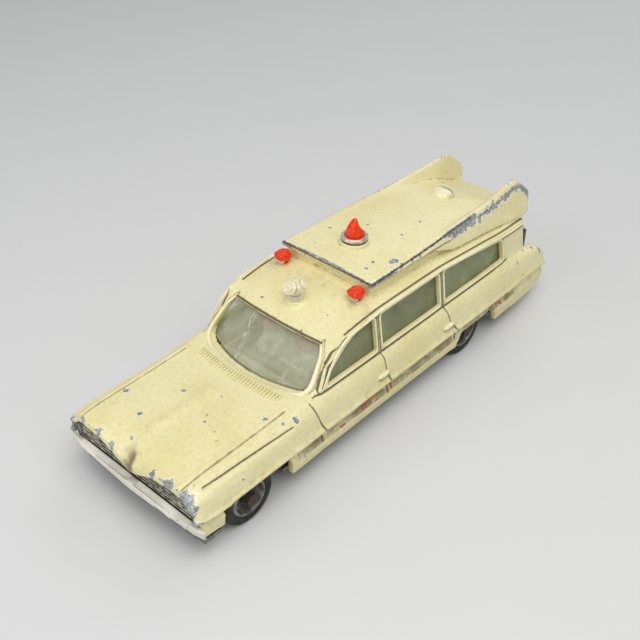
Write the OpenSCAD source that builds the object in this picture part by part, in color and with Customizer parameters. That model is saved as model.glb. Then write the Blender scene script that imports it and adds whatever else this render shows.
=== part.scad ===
// Toy ambulance: a cast metal body on a riveted base plate, with rolling wheels,
// a steering front axle, a hinged rear door and a fitted interior.
// Frame: +X forward, +Y to the car's left, +Z up, origin on the ground under the middle.

/* [Overall] */
// Length from the front bumper to the tail
car_length = 127; // [122:1:134]
// Width over the ridges along the sides
body_w = 41; // [40:0.5:44]
// Thickness of the casting
wall = 1.2; // [1:0.1:1.4]

/* [Wheels] */
// Outer diameter of a tyre
tyre_d = 13.2; // [12.6:0.1:13.6]
// Width of a tyre
tyre_w = 4.2; // [3.6:0.1:4.4]
// Diameter of a hub where the tyre sits
rim_d = 9; // [8.4:0.1:9.4]
// Depth of the dish in a hub
dish_depth = 1.4; // [1:0.1:1.8]
// Diameter of an axle
axle_d = 1.6; // [1.2:0.1:1.8]
// Distance between the axles as a share of the length
wheelbase_share = 0.5945; // [0.58:0.0005:0.61]
// Distance from the front bumper back to the front axle
front_overhang = 15.4; // [15:0.1:16]
// Distance of a front wheel's outer face inside the ridges
front_inset = 1.5; // [1.4:0.1:1.8]
// Distance of a rear wheel's outer face inside the ridges
rear_inset = 2.2; // [2.1:0.1:2.6]
// Room around a front tyre in its arch
arch_room = 3.2; // [3:0.1:3.4]
// Half length of a rear arch at the sill
rear_arch_r = 8.8; // [8.4:0.1:9.2]

/* [Sides] */
// Height of the sill's lower edge
sill_z = 5.2; // [5:0.1:5.6]
// Height of the ridge along the side
ridge_z = 11.5; // [11:0.1:12]
// Height of the belt under the windows
belt_z = 18.9; // [18.4:0.1:19.4]
// Depth of the recessed stripe below the ridge
stripe_depth = 1.2; // [0.6:0.1:1.4]

/* [Bonnet] */
// Length from the front bumper to the foot of the windscreen
bonnet_length = 31.8; // [31:0.2:33]
// Height of the creases along the bonnet
crease_z = 17.9; // [17.5:0.1:18.3]
// Distance of a crease inside the ridges
crease_inset = 5.1; // [4.5:0.1:5.9]
// Rise of the bonnet's middle above the creases
bonnet_crown = 1; // [0.6:0.1:1.4]
// Depth of the notch in the middle of the bonnet's front edge
notch_depth = 5; // [3:0.5:5.5]

/* [Cabin] */
// Horizontal run of the windscreen
screen_run = 11.4; // [10:0.2:12.4]
// Height of the windscreen's top edge
header_z = 27.3; // [26.9:0.1:27.7]
// Distance of the cabin's side at the belt inside the ridges
cabin_low_inset = 2.9; // [2.7:0.1:3.3]
// Distance of the cabin's side at the drip rail inside the ridges
cabin_high_inset = 4.4; // [4:0.1:4.9]
// Height of the drip rail
drip_z = 28.9; // [28.5:0.1:29.3]
// Distance from the tail forward to the rear wall
tail_overhang = 6.9; // [6:0.1:8]

/* [Windows] */
// Place of the pillar behind the front door, as a share of the cabin's length from the front
b_pillar_share = 0.187; // [0.17:0.001:0.21]
// Place of the pillar behind the rear door, as a share of the cabin's length from the front
c_pillar_share = 0.49; // [0.46:0.005:0.52]
// Length of the panel behind the last side window
rear_panel_l = 13.2; // [12.6:0.1:14]
// Width of a pillar
pillar_w = 2; // [1.6:0.1:2.6]
// Frame left above the belt and below the drip rail
window_frame = 0.8; // [0.6:0.1:1.2]
// Thickness of the clear moulding
glass_t = 0.8; // [0.6:0.1:1]

/* [Roof] */
// Height of the raised cap
cap_z = 34.4; // [34:0.1:34.8]
// Distance of the cap's side at its front inside the ridges
cap_inset = 7; // [6.5:0.1:7.5]
// Distance from the windscreen's top edge back to the cap
cap_setback = 15.4; // [14:0.2:17]
// Thickness of the cap's overhanging edge
cap_edge = 1.2; // [0.8:0.1:1.6]
// Height of the roof fins
fin_z = 35.4; // [35.2:0.1:36]
// Thickness of a roof fin
fin_t = 1.7; // [1.3:0.1:2.2]
// Distance the foot of a fin's rear edge stands ahead of its tip
fin_rake = 1.8; // [1:0.1:2.2]
// Height of the roof's rear edge
deck_rear_z = 26.1; // [25.7:0.1:26.5]

/* [Rear door] */
// Distance of the rear door's side edges inside the ridges
door_inset = 7.8; // [7.5:0.1:8.5]
// Height of the door's lower edge
door_low_z = 10.1; // [9.8:0.1:10.6]
// Height of the door's upper edge
door_high_z = 23.7; // [23:0.1:23.9]
// Thickness of the door
door_t = 1.3; // [1.1:0.1:1.5]
// Diameter of the hinge pin
hinge_pin_d = 0.8; // [0.6:0.1:1]

/* [Base] */
// Thickness of the base plate
base_t = 0.8; // [0.7:0.1:1]
// Depth of the panel pressed down in the middle of the base plate
panel_depth = 0.7; // [0.7:0.05:0.9]
// Diameter of the steering pivot
pivot_d = 2.4; // [2:0.1:3]
// Diameter of a base rivet
rivet_d = 2.6; // [2:0.1:3]

/* [Roof fittings] */
// Diameter of the beacon's collar
beacon_d = 6.6; // [6:0.1:7.2]
// Height of the beacon's red lens
beacon_h = 5.6; // [4.5:0.1:6.5]
// Diameter of a red warning lamp
lamp_d = 2.8; // [2.4:0.1:3.2]
// Diameter of the clear siren
siren_d = 5.6; // [5:0.1:6.2]
// Height of the clear siren
siren_h = 4.7; // [4:0.1:5.4]

/* [Interior] */
// Height of the floor inside
floor_z = 9.8; // [9.6:0.1:10.2]
// Distance of the interior tub's sides inside the ridges
tub_inset = 7.5; // [7.3:0.1:8.5]
// Diameter of a figure's head
head_d = 4.4; // [3.8:0.1:5]
// Diameter of the steering wheel
steering_d = 6.4; // [5.6:0.1:7]
// Distance from the front of the bench's seat to the back of the dashboard
leg_room = 5.2; // [5:0.1:6.5]
// Length of the bench's seat
seat_l = 7.5; // [7:0.1:8]
// Height of the bench's back
bench_back_h = 9; // [8:0.1:9.5]
// Length of the stretcher
stretcher_l = 36; // [32:0.5:38]
// Width of the stretcher
stretcher_w = 11; // [10:0.2:12]

/* [Fits] */
// Radial clearance of a turning pin
running_gap = 0.05; // [0.03:0.01:0.09]
// Clearance of a seated piece
seat_gap = 0.1; // [0.06:0.01:0.16]
// Clearance beside a turning or swinging piece
play = 0.4; // [0.3:0.05:0.5]

/* [Hidden] */
$fn = 48;

cream = [0.90, 0.85, 0.66];
bare_metal = [0.72, 0.72, 0.70];
steel = [0.45, 0.42, 0.40];
rubber = [0.08, 0.08, 0.08];
clear_green = [0.70, 0.78, 0.70, 0.5];
lamp_red = [0.85, 0.15, 0.10];
pale_plastic = [0.80, 0.78, 0.70];
white_cloth = [0.90, 0.90, 0.86];
skin = [0.85, 0.65, 0.55];

// Main places along the car
nose_x = car_length / 2;
tail_x = -nose_x;
casting_nose_x = nose_x - 0.5;
front_x = nose_x - front_overhang;
rear_x = front_x - wheelbase_share * car_length;
screen_x = nose_x - bonnet_length;
header_x = screen_x - screen_run;
cap_x = header_x - cap_setback;
wall_x = tail_x + tail_overhang;
fin_peak_x = tail_x + 0.0748 * car_length;
fin_tip_x = tail_x + 1.2;
deck_end_x = tail_x + 2.5;
cabin_l = header_x - wall_x;
b_pillar_x = header_x - b_pillar_share * cabin_l;
c_pillar_x = header_x - c_pillar_share * cabin_l;
d_pillar_x = wall_x + rear_panel_l;

// Spans between those places, used for the stations between them
quarter_span = d_pillar_x - fin_peak_x;
rear_span = rear_x - d_pillar_x;
mid_span = c_pillar_x - rear_x;
door_span = b_pillar_x - c_pillar_x;
cap_span = cap_x - c_pillar_x;

// Half widths
half_w = body_w / 2;
crease_y = half_w - crease_inset;
cabin_low_y = half_w - cabin_low_inset;
cabin_high_y = half_w - cabin_high_inset;
cap_y = half_w - cap_inset;
tub_y = half_w - tub_inset;

// Wheels and running gear
tyre_r = tyre_d / 2;
rim_r = rim_d / 2;
axle_r = axle_d / 2;
axle_z = tyre_r;
front_out = half_w - front_inset;
rear_out = half_w - rear_inset;
axle_head_r = axle_r + 0.6;
axle_head_t = 0.8;
hub_setback = 0.2;
arch_r = tyre_r + arch_room;
front_arch_x = front_x - 2;
rear_arch_x = rear_x - 3.3;
rear_arch_z = 3;
rear_arch_top = ridge_z - 2.8;
well_top = axle_z + tyre_r + 0.6;
steered_r = tyre_r + 1.9;
ear_t = 3;
carrier_t = 0.6;
carrier_z = axle_z - axle_r - 0.2 - carrier_t;
base_top = carrier_z - seat_gap;
base_z = base_top - base_t;
ear_r = axle_r + 0.7;
pivot_r = pivot_d / 2;
pivot_head_t = 0.5;

// Rear door and its hinge
door_y = half_w - door_inset;
hinge_r = hinge_pin_d / 2 + 0.55;
hinge_x = wall_x - hinge_r;
hinge_y = door_y + 0.2;
hinge_low_z = door_low_z + 2;
hinge_high_z = door_high_z - 2;
knuckle_h = (hinge_high_z - hinge_low_z) / 3;
recess_y = hinge_y + 2.4;
door_gap = 0.35;

// Glass and roof fittings
glass_gap = wall + seat_gap;
beacon_x = cap_x - 10;
collar_top = cap_z + 1.3;
lamp_r = lamp_d / 2;
lamp_x = cap_x + 1.6;
lamp_y = cap_y - 2.5;
siren_x = header_x - 0.364 * cap_setback;
stud_r = 1;
lamp_stem_r = 0.8;
siren_foot_d = siren_d * 0.72;

// Interior
floor_top = floor_z + 0.8;
dash_x = screen_x - 6.4;
dash_z = belt_z - 2.2;
bench_x = dash_x - leg_room - seat_l;
bench_back_t = 2.2;
seat_top = floor_top + 1.7;
driver_y = 0.43 * tub_y;
stretcher_x = wall_x + wall + 2.5 + stretcher_l / 2;
stretcher_top = floor_top + 2.6;

// A smooth curve through points [x, value] that rise in x
function segment(x, p, i = 0) = i >= len(p) - 2 || x < p[i + 1][0] ? i : segment(x, p, i + 1);
function slope(p, i) =
    let (a = max(i - 1, 0), b = min(i + 1, len(p) - 1))
    (p[b][1] - p[a][1]) / (p[b][0] - p[a][0]);
function hermite(t, h, a, b, ma, mb) =
    (2 * t^3 - 3 * t^2 + 1) * a + (t^3 - 2 * t^2 + t) * h * ma + (3 * t^2 - 2 * t^3) * b + (t^3 - t^2) * h * mb;
function curve(x, p) =
    let (i = segment(x, p), h = p[i + 1][0] - p[i][0], t = min(max((x - p[i][0]) / h, 0), 1))
    hermite(t, h, p[i][1], p[i + 1][1], slope(p, i), slope(p, i + 1));
function ease(t) = let (c = min(max(t, 0), 1)) c * c * (3 - 2 * c);

// A half outline from the bottom to the middle, with its mirror image added
function whole(half) = concat(half, [for (i = [len(half) - 2 : -1 : 0]) [-half[i][0], half[i][1]]]);
function ring_x(x, outline) = [for (p = outline) [x, p[0], p[1]]];
function ring_z(z, outline) = [for (p = outline) [p[0], p[1], z]];

// A solid through rings of equal point count
module loft(rings) {
    n = len(rings[0]);
    m = len(rings);
    sides = [
        for (i = [0 : m - 2], j = [0 : n - 1])
            let (k = (j + 1) % n)
            each [[i * n + j, (i + 1) * n + j, (i + 1) * n + k], [i * n + j, (i + 1) * n + k, i * n + k]]
    ];
    first = [for (j = [0 : n - 1]) j];
    last = [for (j = [n - 1 : -1 : 0]) (m - 1) * n + j];
    polyhedron([for (r = rings) each r], concat([first], sides, [last]), convexity = 10);
}

// Lower body: heights and half widths along the car
function bottom_z(x) = curve(x, [
    [tail_x, sill_z + 0.7], [tail_x + 1.2, sill_z - 0.9], [tail_x + 4, sill_z - 1.2],
    [rear_arch_x - rear_arch_r, sill_z - 1.1], [rear_arch_x + rear_arch_r, sill_z],
    [front_arch_x - arch_r, sill_z], [front_arch_x + arch_r, sill_z + 0.9], [nose_x, sill_z + 1.3]
]);
function ridge_height(x) = curve(x, [
    [tail_x, ridge_z - 1.6], [tail_x + 5, ridge_z], [nose_x, ridge_z]
]);
function ridge_y(x) = curve(x, [
    [tail_x, half_w - 1.3], [tail_x + 6, half_w - 0.7], [rear_arch_x - rear_arch_r, half_w - 0.1], [0, half_w],
    [front_arch_x, half_w + 0.2], [front_arch_x + arch_r, half_w + 0.4], [nose_x - 3, half_w + 0.2],
    [nose_x, half_w - 0.7]
]);
function top_z(x) = curve(x, [
    [tail_x, ridge_z + 2.2], [tail_x + 1.2, ridge_z + 3.3], [tail_x + 4, belt_z - 2.4], [wall_x + 0.1, belt_z - 1.9],
    [d_pillar_x - 0.15 * rear_panel_l, belt_z - 0.2], [c_pillar_x, belt_z], [header_x, belt_z],
    [screen_x, crease_z + 0.9],
    [front_arch_x, crease_z + 0.4], [nose_x - 5, crease_z], [nose_x, crease_z - 0.6]
]);
function shoulder_z(x) = curve(x, [
    [tail_x, ridge_z + 1.3], [tail_x + 1.2, ridge_z + 2.4], [tail_x + 4, belt_z - 3.2], [wall_x + 0.1, belt_z - 2.8],
    [d_pillar_x, belt_z - 1.2], [c_pillar_x, belt_z - 0.9], [header_x, belt_z - 0.9], [screen_x, crease_z - 0.6],
    [front_arch_x, crease_z - 1.1], [nose_x - 5, crease_z - 1.8], [nose_x - 1.5, crease_z - 2.9],
    [nose_x, crease_z - 3.6]
]);
function shoulder_y(x) = curve(x, [
    [tail_x, half_w - 2.6], [tail_x + 6, half_w - 2.1], [d_pillar_x, half_w - 2], [0, half_w - 2],
    [screen_x, half_w - 1.9], [front_arch_x, half_w - 2.1], [nose_x - 5, half_w - 1.5], [nose_x, half_w - 1.2]
]);
function edge_y(x) = curve(x, [
    [tail_x, half_w - 3.8], [tail_x + 6, half_w - 3.3], [d_pillar_x, cabin_low_y - 0.3],
    [header_x, cabin_low_y - 0.2],
    [screen_x - 2, crease_y + 1.4], [screen_x + 4, crease_y], [nose_x, crease_y]
]);
function crown_at(x) = bonnet_crown * ease((x - screen_x) / (front_arch_x - screen_x));
function stripe_at(x) = stripe_depth * (1 - 0.45 * ease((12 - abs(x - rear_x)) / 5));
function notch_at(x) = notch_depth * ease((x - (nose_x - 8)) / 9)^2;

function lower_outline(x) =
    let (
        b = bottom_z(x), r = ridge_height(x), s = shoulder_z(x), t = top_z(x),
        y = ridge_y(x), up = s - r, down = r - b, rise = crown_at(x), dip = notch_at(x)
    )
    whole([
        [y - 0.9, b],
        [y - 0.65, b + 0.48 * down],
        [y - stripe_at(x), b + 0.58 * down],
        [y - stripe_at(x), b + 0.85 * down],
        [y, r - 0.04 * down],
        [y, r + 0.04 * up],
        [y - 0.62, r + 0.14 * up],
        [y - 0.8, r + 0.4 * up],
        [y - 1.2, r + 0.72 * up],
        [0.5 * (y - 1.2 + shoulder_y(x)) + 0.14, r + 0.88 * up],
        [shoulder_y(x), s],
        [0.5 * (shoulder_y(x) + edge_y(x)) + 0.08, 0.5 * (s + t) + 0.1],
        [edge_y(x), t],
        [edge_y(x) * 0.75, t + 0.45 * rise - 0.1 * dip],
        [edge_y(x) * 0.5, t + 0.75 * rise - 0.3 * dip],
        [edge_y(x) * 0.25, t + 0.92 * rise - 0.68 * dip],
        [0, t + rise - dip]
    ]);
function lower_cavity(x) =
    let (
        r = ridge_height(x), s = shoulder_z(x), t = top_z(x), y = ridge_y(x) - wall,
        up = s - r, rise = crown_at(x), dip = notch_at(x)
    )
    whole([
        [y - stripe_depth, -1],
        [y - stripe_depth, r - 0.5],
        [y - 0.8, r + 0.4 * up],
        [y - 1.2, r + 0.7 * up],
        [shoulder_y(x) - wall, s - 0.5 * wall],
        [edge_y(x) - 0.6 * wall, t - wall],
        [edge_y(x) * 0.5, t + 0.7 * rise - 0.3 * dip - wall],
        [0, t + rise - dip - wall]
    ]);
lower_stations = concat(
    [tail_x, tail_x + 0.8, tail_x + 2, tail_x + 3.6, tail_x + 5.4, wall_x - 0.1, wall_x + 0.23 * rear_panel_l],
    [d_pillar_x - 0.38 * rear_panel_l, d_pillar_x + 0.31 * rear_span, rear_x - 0.44 * rear_span, rear_x],
    [c_pillar_x - 0.23 * mid_span, c_pillar_x + 0.35 * door_span, b_pillar_x, header_x - 4],
    [header_x + 3, screen_x - 4, screen_x - 1, screen_x + 2, screen_x + 6, front_arch_x - 3, front_arch_x + 4],
    [nose_x - 9, nose_x - 6.5, nose_x - 4.5, nose_x - 3, nose_x - 1.8, nose_x - 1, casting_nose_x]
);
cavity_stations = [for (x = lower_stations) if (x > wall_x + wall + 0.5 && x < nose_x - 1.5) x];

module lower_body() {
    loft([for (x = lower_stations) ring_x(x, lower_outline(x))]);
}
module lower_hollow() {
    stations = concat([wall_x + wall], cavity_stations, [nose_x - 1.5]);
    loft([for (x = stations) ring_x(x, lower_cavity(x))]);
}

// Cabin: plan outlines that lean in towards the roof, set in by a distance
function cabin_y(z) = lookup(z, [
    [belt_z - 4, cabin_low_y + 0.2], [belt_z, cabin_low_y], [drip_z, cabin_high_y], [drip_z + 4, cabin_high_y - 0.6]
]);
function screen_at(z) = screen_x - screen_run * (z - belt_z + 1.2) / (header_z - belt_z + 1.2);
function bulge_at(z) = lookup(z, [[belt_z - 1.2, 4.2], [header_z, 0.8], [drip_z + 4, 0.4]]);
function plan_taper(x) = 1.3 * ease((d_pillar_x + 2 - x) / (d_pillar_x + 2 - wall_x)) + 0.3 * (x / nose_x)^2;
function cabin_outline(z, inset) =
    let (
        w = cabin_y(z) - inset, nose = screen_at(z) - 1.4 * inset, bulge = bulge_at(z), back = wall_x + inset,
        corner = w - plan_taper(wall_x),
        front = [for (t = [-1 : 0.2 : 1.01]) [nose - bulge * t * t, t * (w - 0.7)]],
        left = concat(
            [for (x = [nose - bulge - 1.2, b_pillar_x, c_pillar_x, d_pillar_x + 0.3 * rear_span,
                d_pillar_x - 0.3 * rear_panel_l])
                [x, w - plan_taper(x)]],
            [[back + 2.4, corner], [back + 0.6, corner - 0.7], [back, corner - 2.2]]
        ),
        right = [for (i = [len(left) - 1 : -1 : 0]) [left[i][0], -left[i][1]]]
    )
    concat(front, left, right);
cabin_levels = [belt_z - 2.5, belt_z, belt_z + 3, belt_z + 6, header_z, drip_z, drip_z + 3.5];

module cabin_prism(inset, low = belt_z - 2.5) {
    levels = concat([low], [for (z = cabin_levels) if (z > low + 0.1) z]);
    loft([for (z = levels) ring_z(z, cabin_outline(z, inset))]);
}

// Roof: middle and edge heights along the car
function roof_mid(x) = curve(x, [
    [tail_x + 3, deck_rear_z - 0.9], [fin_peak_x, deck_rear_z + 1.4], [d_pillar_x, drip_z + 1],
    [c_pillar_x, drip_z + 2.2], [cap_x, drip_z + 2.5],
    [cap_x + 0.325 * cap_setback, drip_z + 1.7], [siren_x, drip_z + 0.4], [header_x, header_z],
    [header_x + 8, header_z - 3]
]);
function roof_edge(x) = curve(x, [
    [tail_x + 3, deck_rear_z - 2.2], [wall_x, deck_rear_z - 1.7], [d_pillar_x, drip_z - 2.6], [rear_x, drip_z - 1],
    [c_pillar_x, drip_z - 0.1], [cap_x, drip_z], [siren_x, header_z + 0.7], [header_x, header_z - 0.3],
    [header_x + 8, header_z - 3.6]
]);
function roof_height(x, y) = roof_mid(x) - (roof_mid(x) - roof_edge(x)) * (abs(y) / cabin_high_y)^2.5;
lamp_z = roof_height(lamp_x, lamp_y) + 0.3;
siren_z = roof_height(siren_x, 0) + 0.5;
roof_stations = [
    tail_x + 4.1, wall_x - 1, wall_x + 0.32 * rear_panel_l, d_pillar_x - 0.33 * rear_panel_l,
    d_pillar_x + 0.31 * rear_span, rear_x - 0.3, c_pillar_x - 0.32 * mid_span, c_pillar_x + 0.28 * cap_span,
    cap_x - 0.2 * cap_span, cap_x + 0.3, cap_x + 0.35 * cap_setback, siren_x, header_x - 2.2, header_x - 0.1,
    header_x + 3.1, header_x + 14
];

module roof_prism(drop) {
    shares = [1, 0.9, 0.8, 0.68, 0.54, 0.38, 0.2, 0];
    side_y = cabin_high_y + 3;
    loft([for (x = roof_stations) ring_x(x, whole(concat(
        [[side_y, belt_z - 4]],
        [for (f = shares) [f * side_y, roof_height(x, f * side_y) - drop]]
    )))]);
}
module cabin() {
    intersection() {
        cabin_prism(0);
        roof_prism(0);
    }
}
module cabin_hollow() {
    intersection() {
        cabin_prism(wall, belt_z - 4);
        roof_prism(wall);
    }
}

// Cap and fins on the roof
function cap_low_z(x) = curve(x, [
    [fin_tip_x, deck_rear_z - 1.3], [fin_peak_x, deck_rear_z], [d_pillar_x, drip_z - 1],
    [rear_x - 0.31 * rear_span, drip_z + 0.3], [rear_x + 0.3 * mid_span, drip_z + 1],
    [c_pillar_x - 0.15 * mid_span, cap_z - cap_edge - 1], [c_pillar_x + 0.22 * cap_span, cap_z - cap_edge],
    [cap_x, cap_z - cap_edge]
]);
function cap_low_y(x) = curve(x, [
    [fin_tip_x, cap_y - 1], [fin_peak_x - 3, cap_y + 0.4], [fin_peak_x, cap_y + 0.8], [rear_x, cap_y + 0.8],
    [c_pillar_x, cap_y + 0.4], [cap_x, cap_y]
]);
function cap_top_y(x) = curve(x, [
    [fin_tip_x, cap_y - 2.2], [fin_peak_x, cap_y - 2.2], [d_pillar_x, cap_y - 1.4], [rear_x, cap_y - 0.9],
    [c_pillar_x, cap_y - 0.4], [cap_x, cap_y]
]);
function cap_top_z(x) = curve(x, [
    [fin_tip_x, fin_z - 5.5], [fin_tip_x + 2.8, fin_z - 3], [fin_peak_x - 2.4, fin_z - 0.6], [fin_peak_x, fin_z],
    [fin_peak_x + 0.47 * quarter_span, fin_z - 0.3], [d_pillar_x, cap_z + 0.2], [c_pillar_x, cap_z], [cap_x, cap_z]
]);
function deck_z(x) = curve(x, [
    [fin_tip_x, deck_rear_z - 0.4], [deck_end_x, deck_rear_z], [fin_peak_x, deck_rear_z + 2.6],
    [d_pillar_x - 0.38 * quarter_span, cap_z - 3.2], [d_pillar_x + 0.31 * rear_span, cap_z - 1.5],
    [rear_x, cap_z - 0.5], [c_pillar_x, cap_z - 0.1], [cap_x, cap_z]
]);
function cap_outline(x) =
    let (y = cap_top_y(x), z = cap_top_z(x), d = deck_z(x), slant = min(1, 0.4 + 0.2 * (z - d)))
    whole([
        [cap_low_y(x), cap_low_z(x)],
        [y, z - 0.4],
        [y - 0.4, z],
        [y - fin_t + 0.4, z],
        [y - fin_t, z - 0.1 - 0.2 * (z - d)],
        [y - fin_t - slant, d + 0.05],
        [y * 0.4, d + 0.4],
        [0, d + 0.5]
    ]);
cap_stations = [
    fin_tip_x, fin_tip_x + 0.9, fin_tip_x + 2.2, fin_tip_x + 4, fin_peak_x - 2.4, fin_peak_x - 1, fin_peak_x,
    fin_peak_x + 0.28 * quarter_span, d_pillar_x - 0.38 * quarter_span, d_pillar_x, d_pillar_x + 0.4 * rear_span,
    rear_x - 0.16 * rear_span, rear_x + 0.22 * mid_span, c_pillar_x - 0.38 * mid_span, c_pillar_x,
    c_pillar_x + 0.27 * cap_span, cap_x - 0.22 * cap_span, cap_x
];

module roof_cap() {
    loft([for (x = cap_stations) ring_x(x, cap_outline(x))]);
    plinth_back = d_pillar_x + 0.63 * rear_span;
    plinth_front = cap_x - 1;
    translate([plinth_back, -cap_y + 1, drip_z])
        cube([plinth_front - plinth_back, 2 * cap_y - 2, cap_z - cap_edge - drip_z + 0.3]);
}
module rear_of_deck_cut() {
    cut_y = cap_y - 2.2 - fin_t - 1;
    translate([fin_tip_x - 1, -cut_y, deck_rear_z - 3])
        cube([deck_end_x - fin_tip_x + 1, 2 * cut_y, 8]);
}
module fin_rake_cut() {
    rotate([90, 0, 0])
        linear_extrude(body_w, center = true)
            polygon([
                [fin_tip_x - 1, deck_rear_z - 3], [fin_tip_x + fin_rake + 0.9, deck_rear_z - 3],
                [fin_tip_x + 0.1, fin_z - 6.6], [fin_tip_x - 1, fin_z - 6.2]
            ]);
}
module drip_rails() {
    xs = [
        wall_x + 0.19 * rear_panel_l, d_pillar_x - 0.23 * rear_panel_l, d_pillar_x + 0.47 * rear_span,
        rear_x + 0.3 * mid_span, c_pillar_x, b_pillar_x + 2, header_x - 7.4, header_x - 1
    ];
    for (side = [-1, 1], i = [0 : len(xs) - 2])
        hull()
            for (x = [xs[i], xs[i + 1]])
                translate([x, side * (cabin_high_y + 0.05 - plan_taper(x)), roof_edge(x) + 0.1])
                    sphere(d = 0.8, $fn = 8);
}
module vent_bump() {
    vent_x = d_pillar_x + 0.25 * rear_span;
    translate([vent_x, 0, deck_z(vent_x) + 0.4])
        scale([1, 1, 0.35])
            sphere(r = 3, $fn = 32);
}
module fitting_bosses() {
    translate([siren_x, 0, siren_z - 2])
        cylinder(d = siren_foot_d + 0.6, h = 2);
    for (side = [-1, 1])
        translate([lamp_x, side * lamp_y, lamp_z - 2])
            cylinder(r = lamp_stem_r + 0.4, h = 2);
}
module fitting_holes() {
    translate([siren_x, 0, siren_z - 5])
        cylinder(r = stud_r + seat_gap, h = 6);
    for (side = [-1, 1])
        translate([lamp_x, side * lamp_y, lamp_z - 5])
            cylinder(r = lamp_stem_r - 0.2 + seat_gap, h = 6);
    translate([beacon_x, 0, collar_top - 1])
        cylinder(r = stud_r + seat_gap, h = 2);
}
module door_handles() {
    for (side = [-1, 1], x = [b_pillar_x + 0.8, c_pillar_x - 1])
        translate([x, side * (half_w - 0.8), ridge_z + 2.1])
            cube([3.2, 1.1, 0.6], center = true);
}
module cowl_vent() {
    vent_x = screen_x + 1.7;
    pitch = (crease_y - 3.8) / 11;
    for (i = [-11 : 11])
        translate([vent_x, i * pitch, top_z(vent_x)])
            cube([1.6, 0.5, 0.5], center = true);
}
module beacon_collar() {
    translate([beacon_x, 0, cap_z - 0.2])
        cylinder(d = beacon_d, h = collar_top - cap_z + 0.2, $fn = 40);
}

// Openings in the casting
module side_windows() {
    low = belt_z + window_frame;
    high = drip_z - window_frame;
    front_foot = header_x + 3.6;
    pane_l = header_x - b_pillar_x;
    panes = [
        [[front_foot, low], [front_foot - 2.4, low + 3.4], [header_x - 0.21 * pane_l, high - 2.2],
            [header_x - 0.45 * pane_l, high - 0.6], [b_pillar_x + 0.28 * pane_l, high],
            [b_pillar_x + pillar_w / 2, high], [b_pillar_x + pillar_w / 2, low]],
        [[b_pillar_x - pillar_w / 2, low], [b_pillar_x - pillar_w / 2, high], [c_pillar_x + pillar_w / 2, high],
            [c_pillar_x + pillar_w / 2, low]],
        [[c_pillar_x - pillar_w / 2, low], [c_pillar_x - pillar_w / 2, high], [rear_x, high - 0.8],
            [d_pillar_x + 0.6, high - 2.6], [d_pillar_x, low]]
    ];
    for (pane = panes)
        rotate([90, 0, 0])
            linear_extrude(body_w, center = true)
                polygon(pane);
}
module windscreen_opening() {
    low = belt_z - 0.63;
    high = header_z - window_frame;
    low_y = cabin_low_y - 2.4;
    high_y = cabin_high_y - 2.6;
    outline = [
        [-low_y + 2.5, low], [low_y - 2.5, low], [low_y - 0.7, low + 0.5], [low_y, low + 1.6],
        [high_y + 0.2, high - 0.8], [high_y - 0.6, high],
        [-high_y + 0.6, high], [-high_y - 0.2, high - 0.8], [-low_y, low + 1.6], [-low_y + 0.7, low + 0.5]
    ];
    intersection() {
        translate([header_x - 4, 0, 0])
            rotate([90, 0, 90])
                linear_extrude(screen_run + 8)
                    polygon(outline);
        cabin_prism(-0.4);
    }
}
module round_opening(x, r, half, top, centre_z = axle_z) {
    intersection() {
        translate([x, 0, centre_z])
            rotate([90, 0, 0])
                cylinder(r = r, h = 2 * half, center = true);
        translate([x - r, -half, -1])
            cube([2 * r, 2 * half, top + 1]);
    }
}
module wheel_openings() {
    well_room = 0.5;
    round_opening(front_arch_x, arch_r, half_w + 2, ridge_z - 0.15);
    round_opening(front_x, tyre_r + 1.2, front_out + well_room, well_top);
    round_opening(front_x, steered_r, front_out - hub_setback, well_top);
    round_opening(rear_arch_x, rear_arch_r, half_w + 2, rear_arch_top, rear_arch_z);
    round_opening(rear_x, tyre_r + 0.8, rear_out + well_room, well_top);
}
function mouth(inset) =
    let (lip = 1.2 + inset, side = half_w - 1.6 - inset)
    whole([
        [side, 0], [side, crease_z - 4.6 - inset], [crease_y, crease_z - 0.6 - lip],
        [crease_y * 0.5, crease_z - 0.6 + 0.75 * bonnet_crown - 0.3 * notch_depth - lip],
        [crease_y * 0.25, crease_z - 0.6 + 0.92 * bonnet_crown - 0.68 * notch_depth - lip],
        [0, crease_z - 0.6 + bonnet_crown - notch_depth - lip]
    ]);
module mouth_opening() {
    translate([nose_x - 6, 0, 0])
        rotate([90, 0, 90])
            linear_extrude(8)
                polygon(mouth(0));
}
bumper_z = sill_z + 2.2;
bumper_h = 2.1;
bumper_depth = 1.9;
module bumper_seat() {
    translate([nose_x - bumper_depth - seat_gap, -body_w, 0])
        cube([bumper_depth + 2, 2 * body_w, bumper_z + bumper_h + seat_gap]);
}
module door_opening() {
    translate([wall_x - 1, -door_y - door_gap, door_low_z - door_gap])
        cube([wall + 2, 2 * (door_y + door_gap), door_high_z - door_low_z + 2 * door_gap]);
}
module tail_recess() {
    translate([tail_x - 1, -recess_y, 0])
        cube([wall_x - tail_x + 1, 2 * recess_y, deck_rear_z - 2]);
}

// Posts inside the casting that the base plate is riveted to
rivet_places = [[nose_x - 8.5, 0], [wall_x + wall + 2.2, 0]];
module posts() {
    post_d = rivet_d + 2;
    translate([rivet_places[0][0], 0, base_top])
        cylinder(d = post_d, h = crease_z + bonnet_crown - wall + 0.4 - base_top, $fn = 32);
    hull() {
        translate([rivet_places[1][0], 0, base_top])
            cylinder(d = post_d, h = door_low_z - door_gap - base_top - 0.2, $fn = 32);
        translate([wall_x + 0.2, -post_d / 2, base_top])
            cube([0.5, post_d, door_low_z - door_gap - base_top - 0.2]);
    }
}

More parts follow.
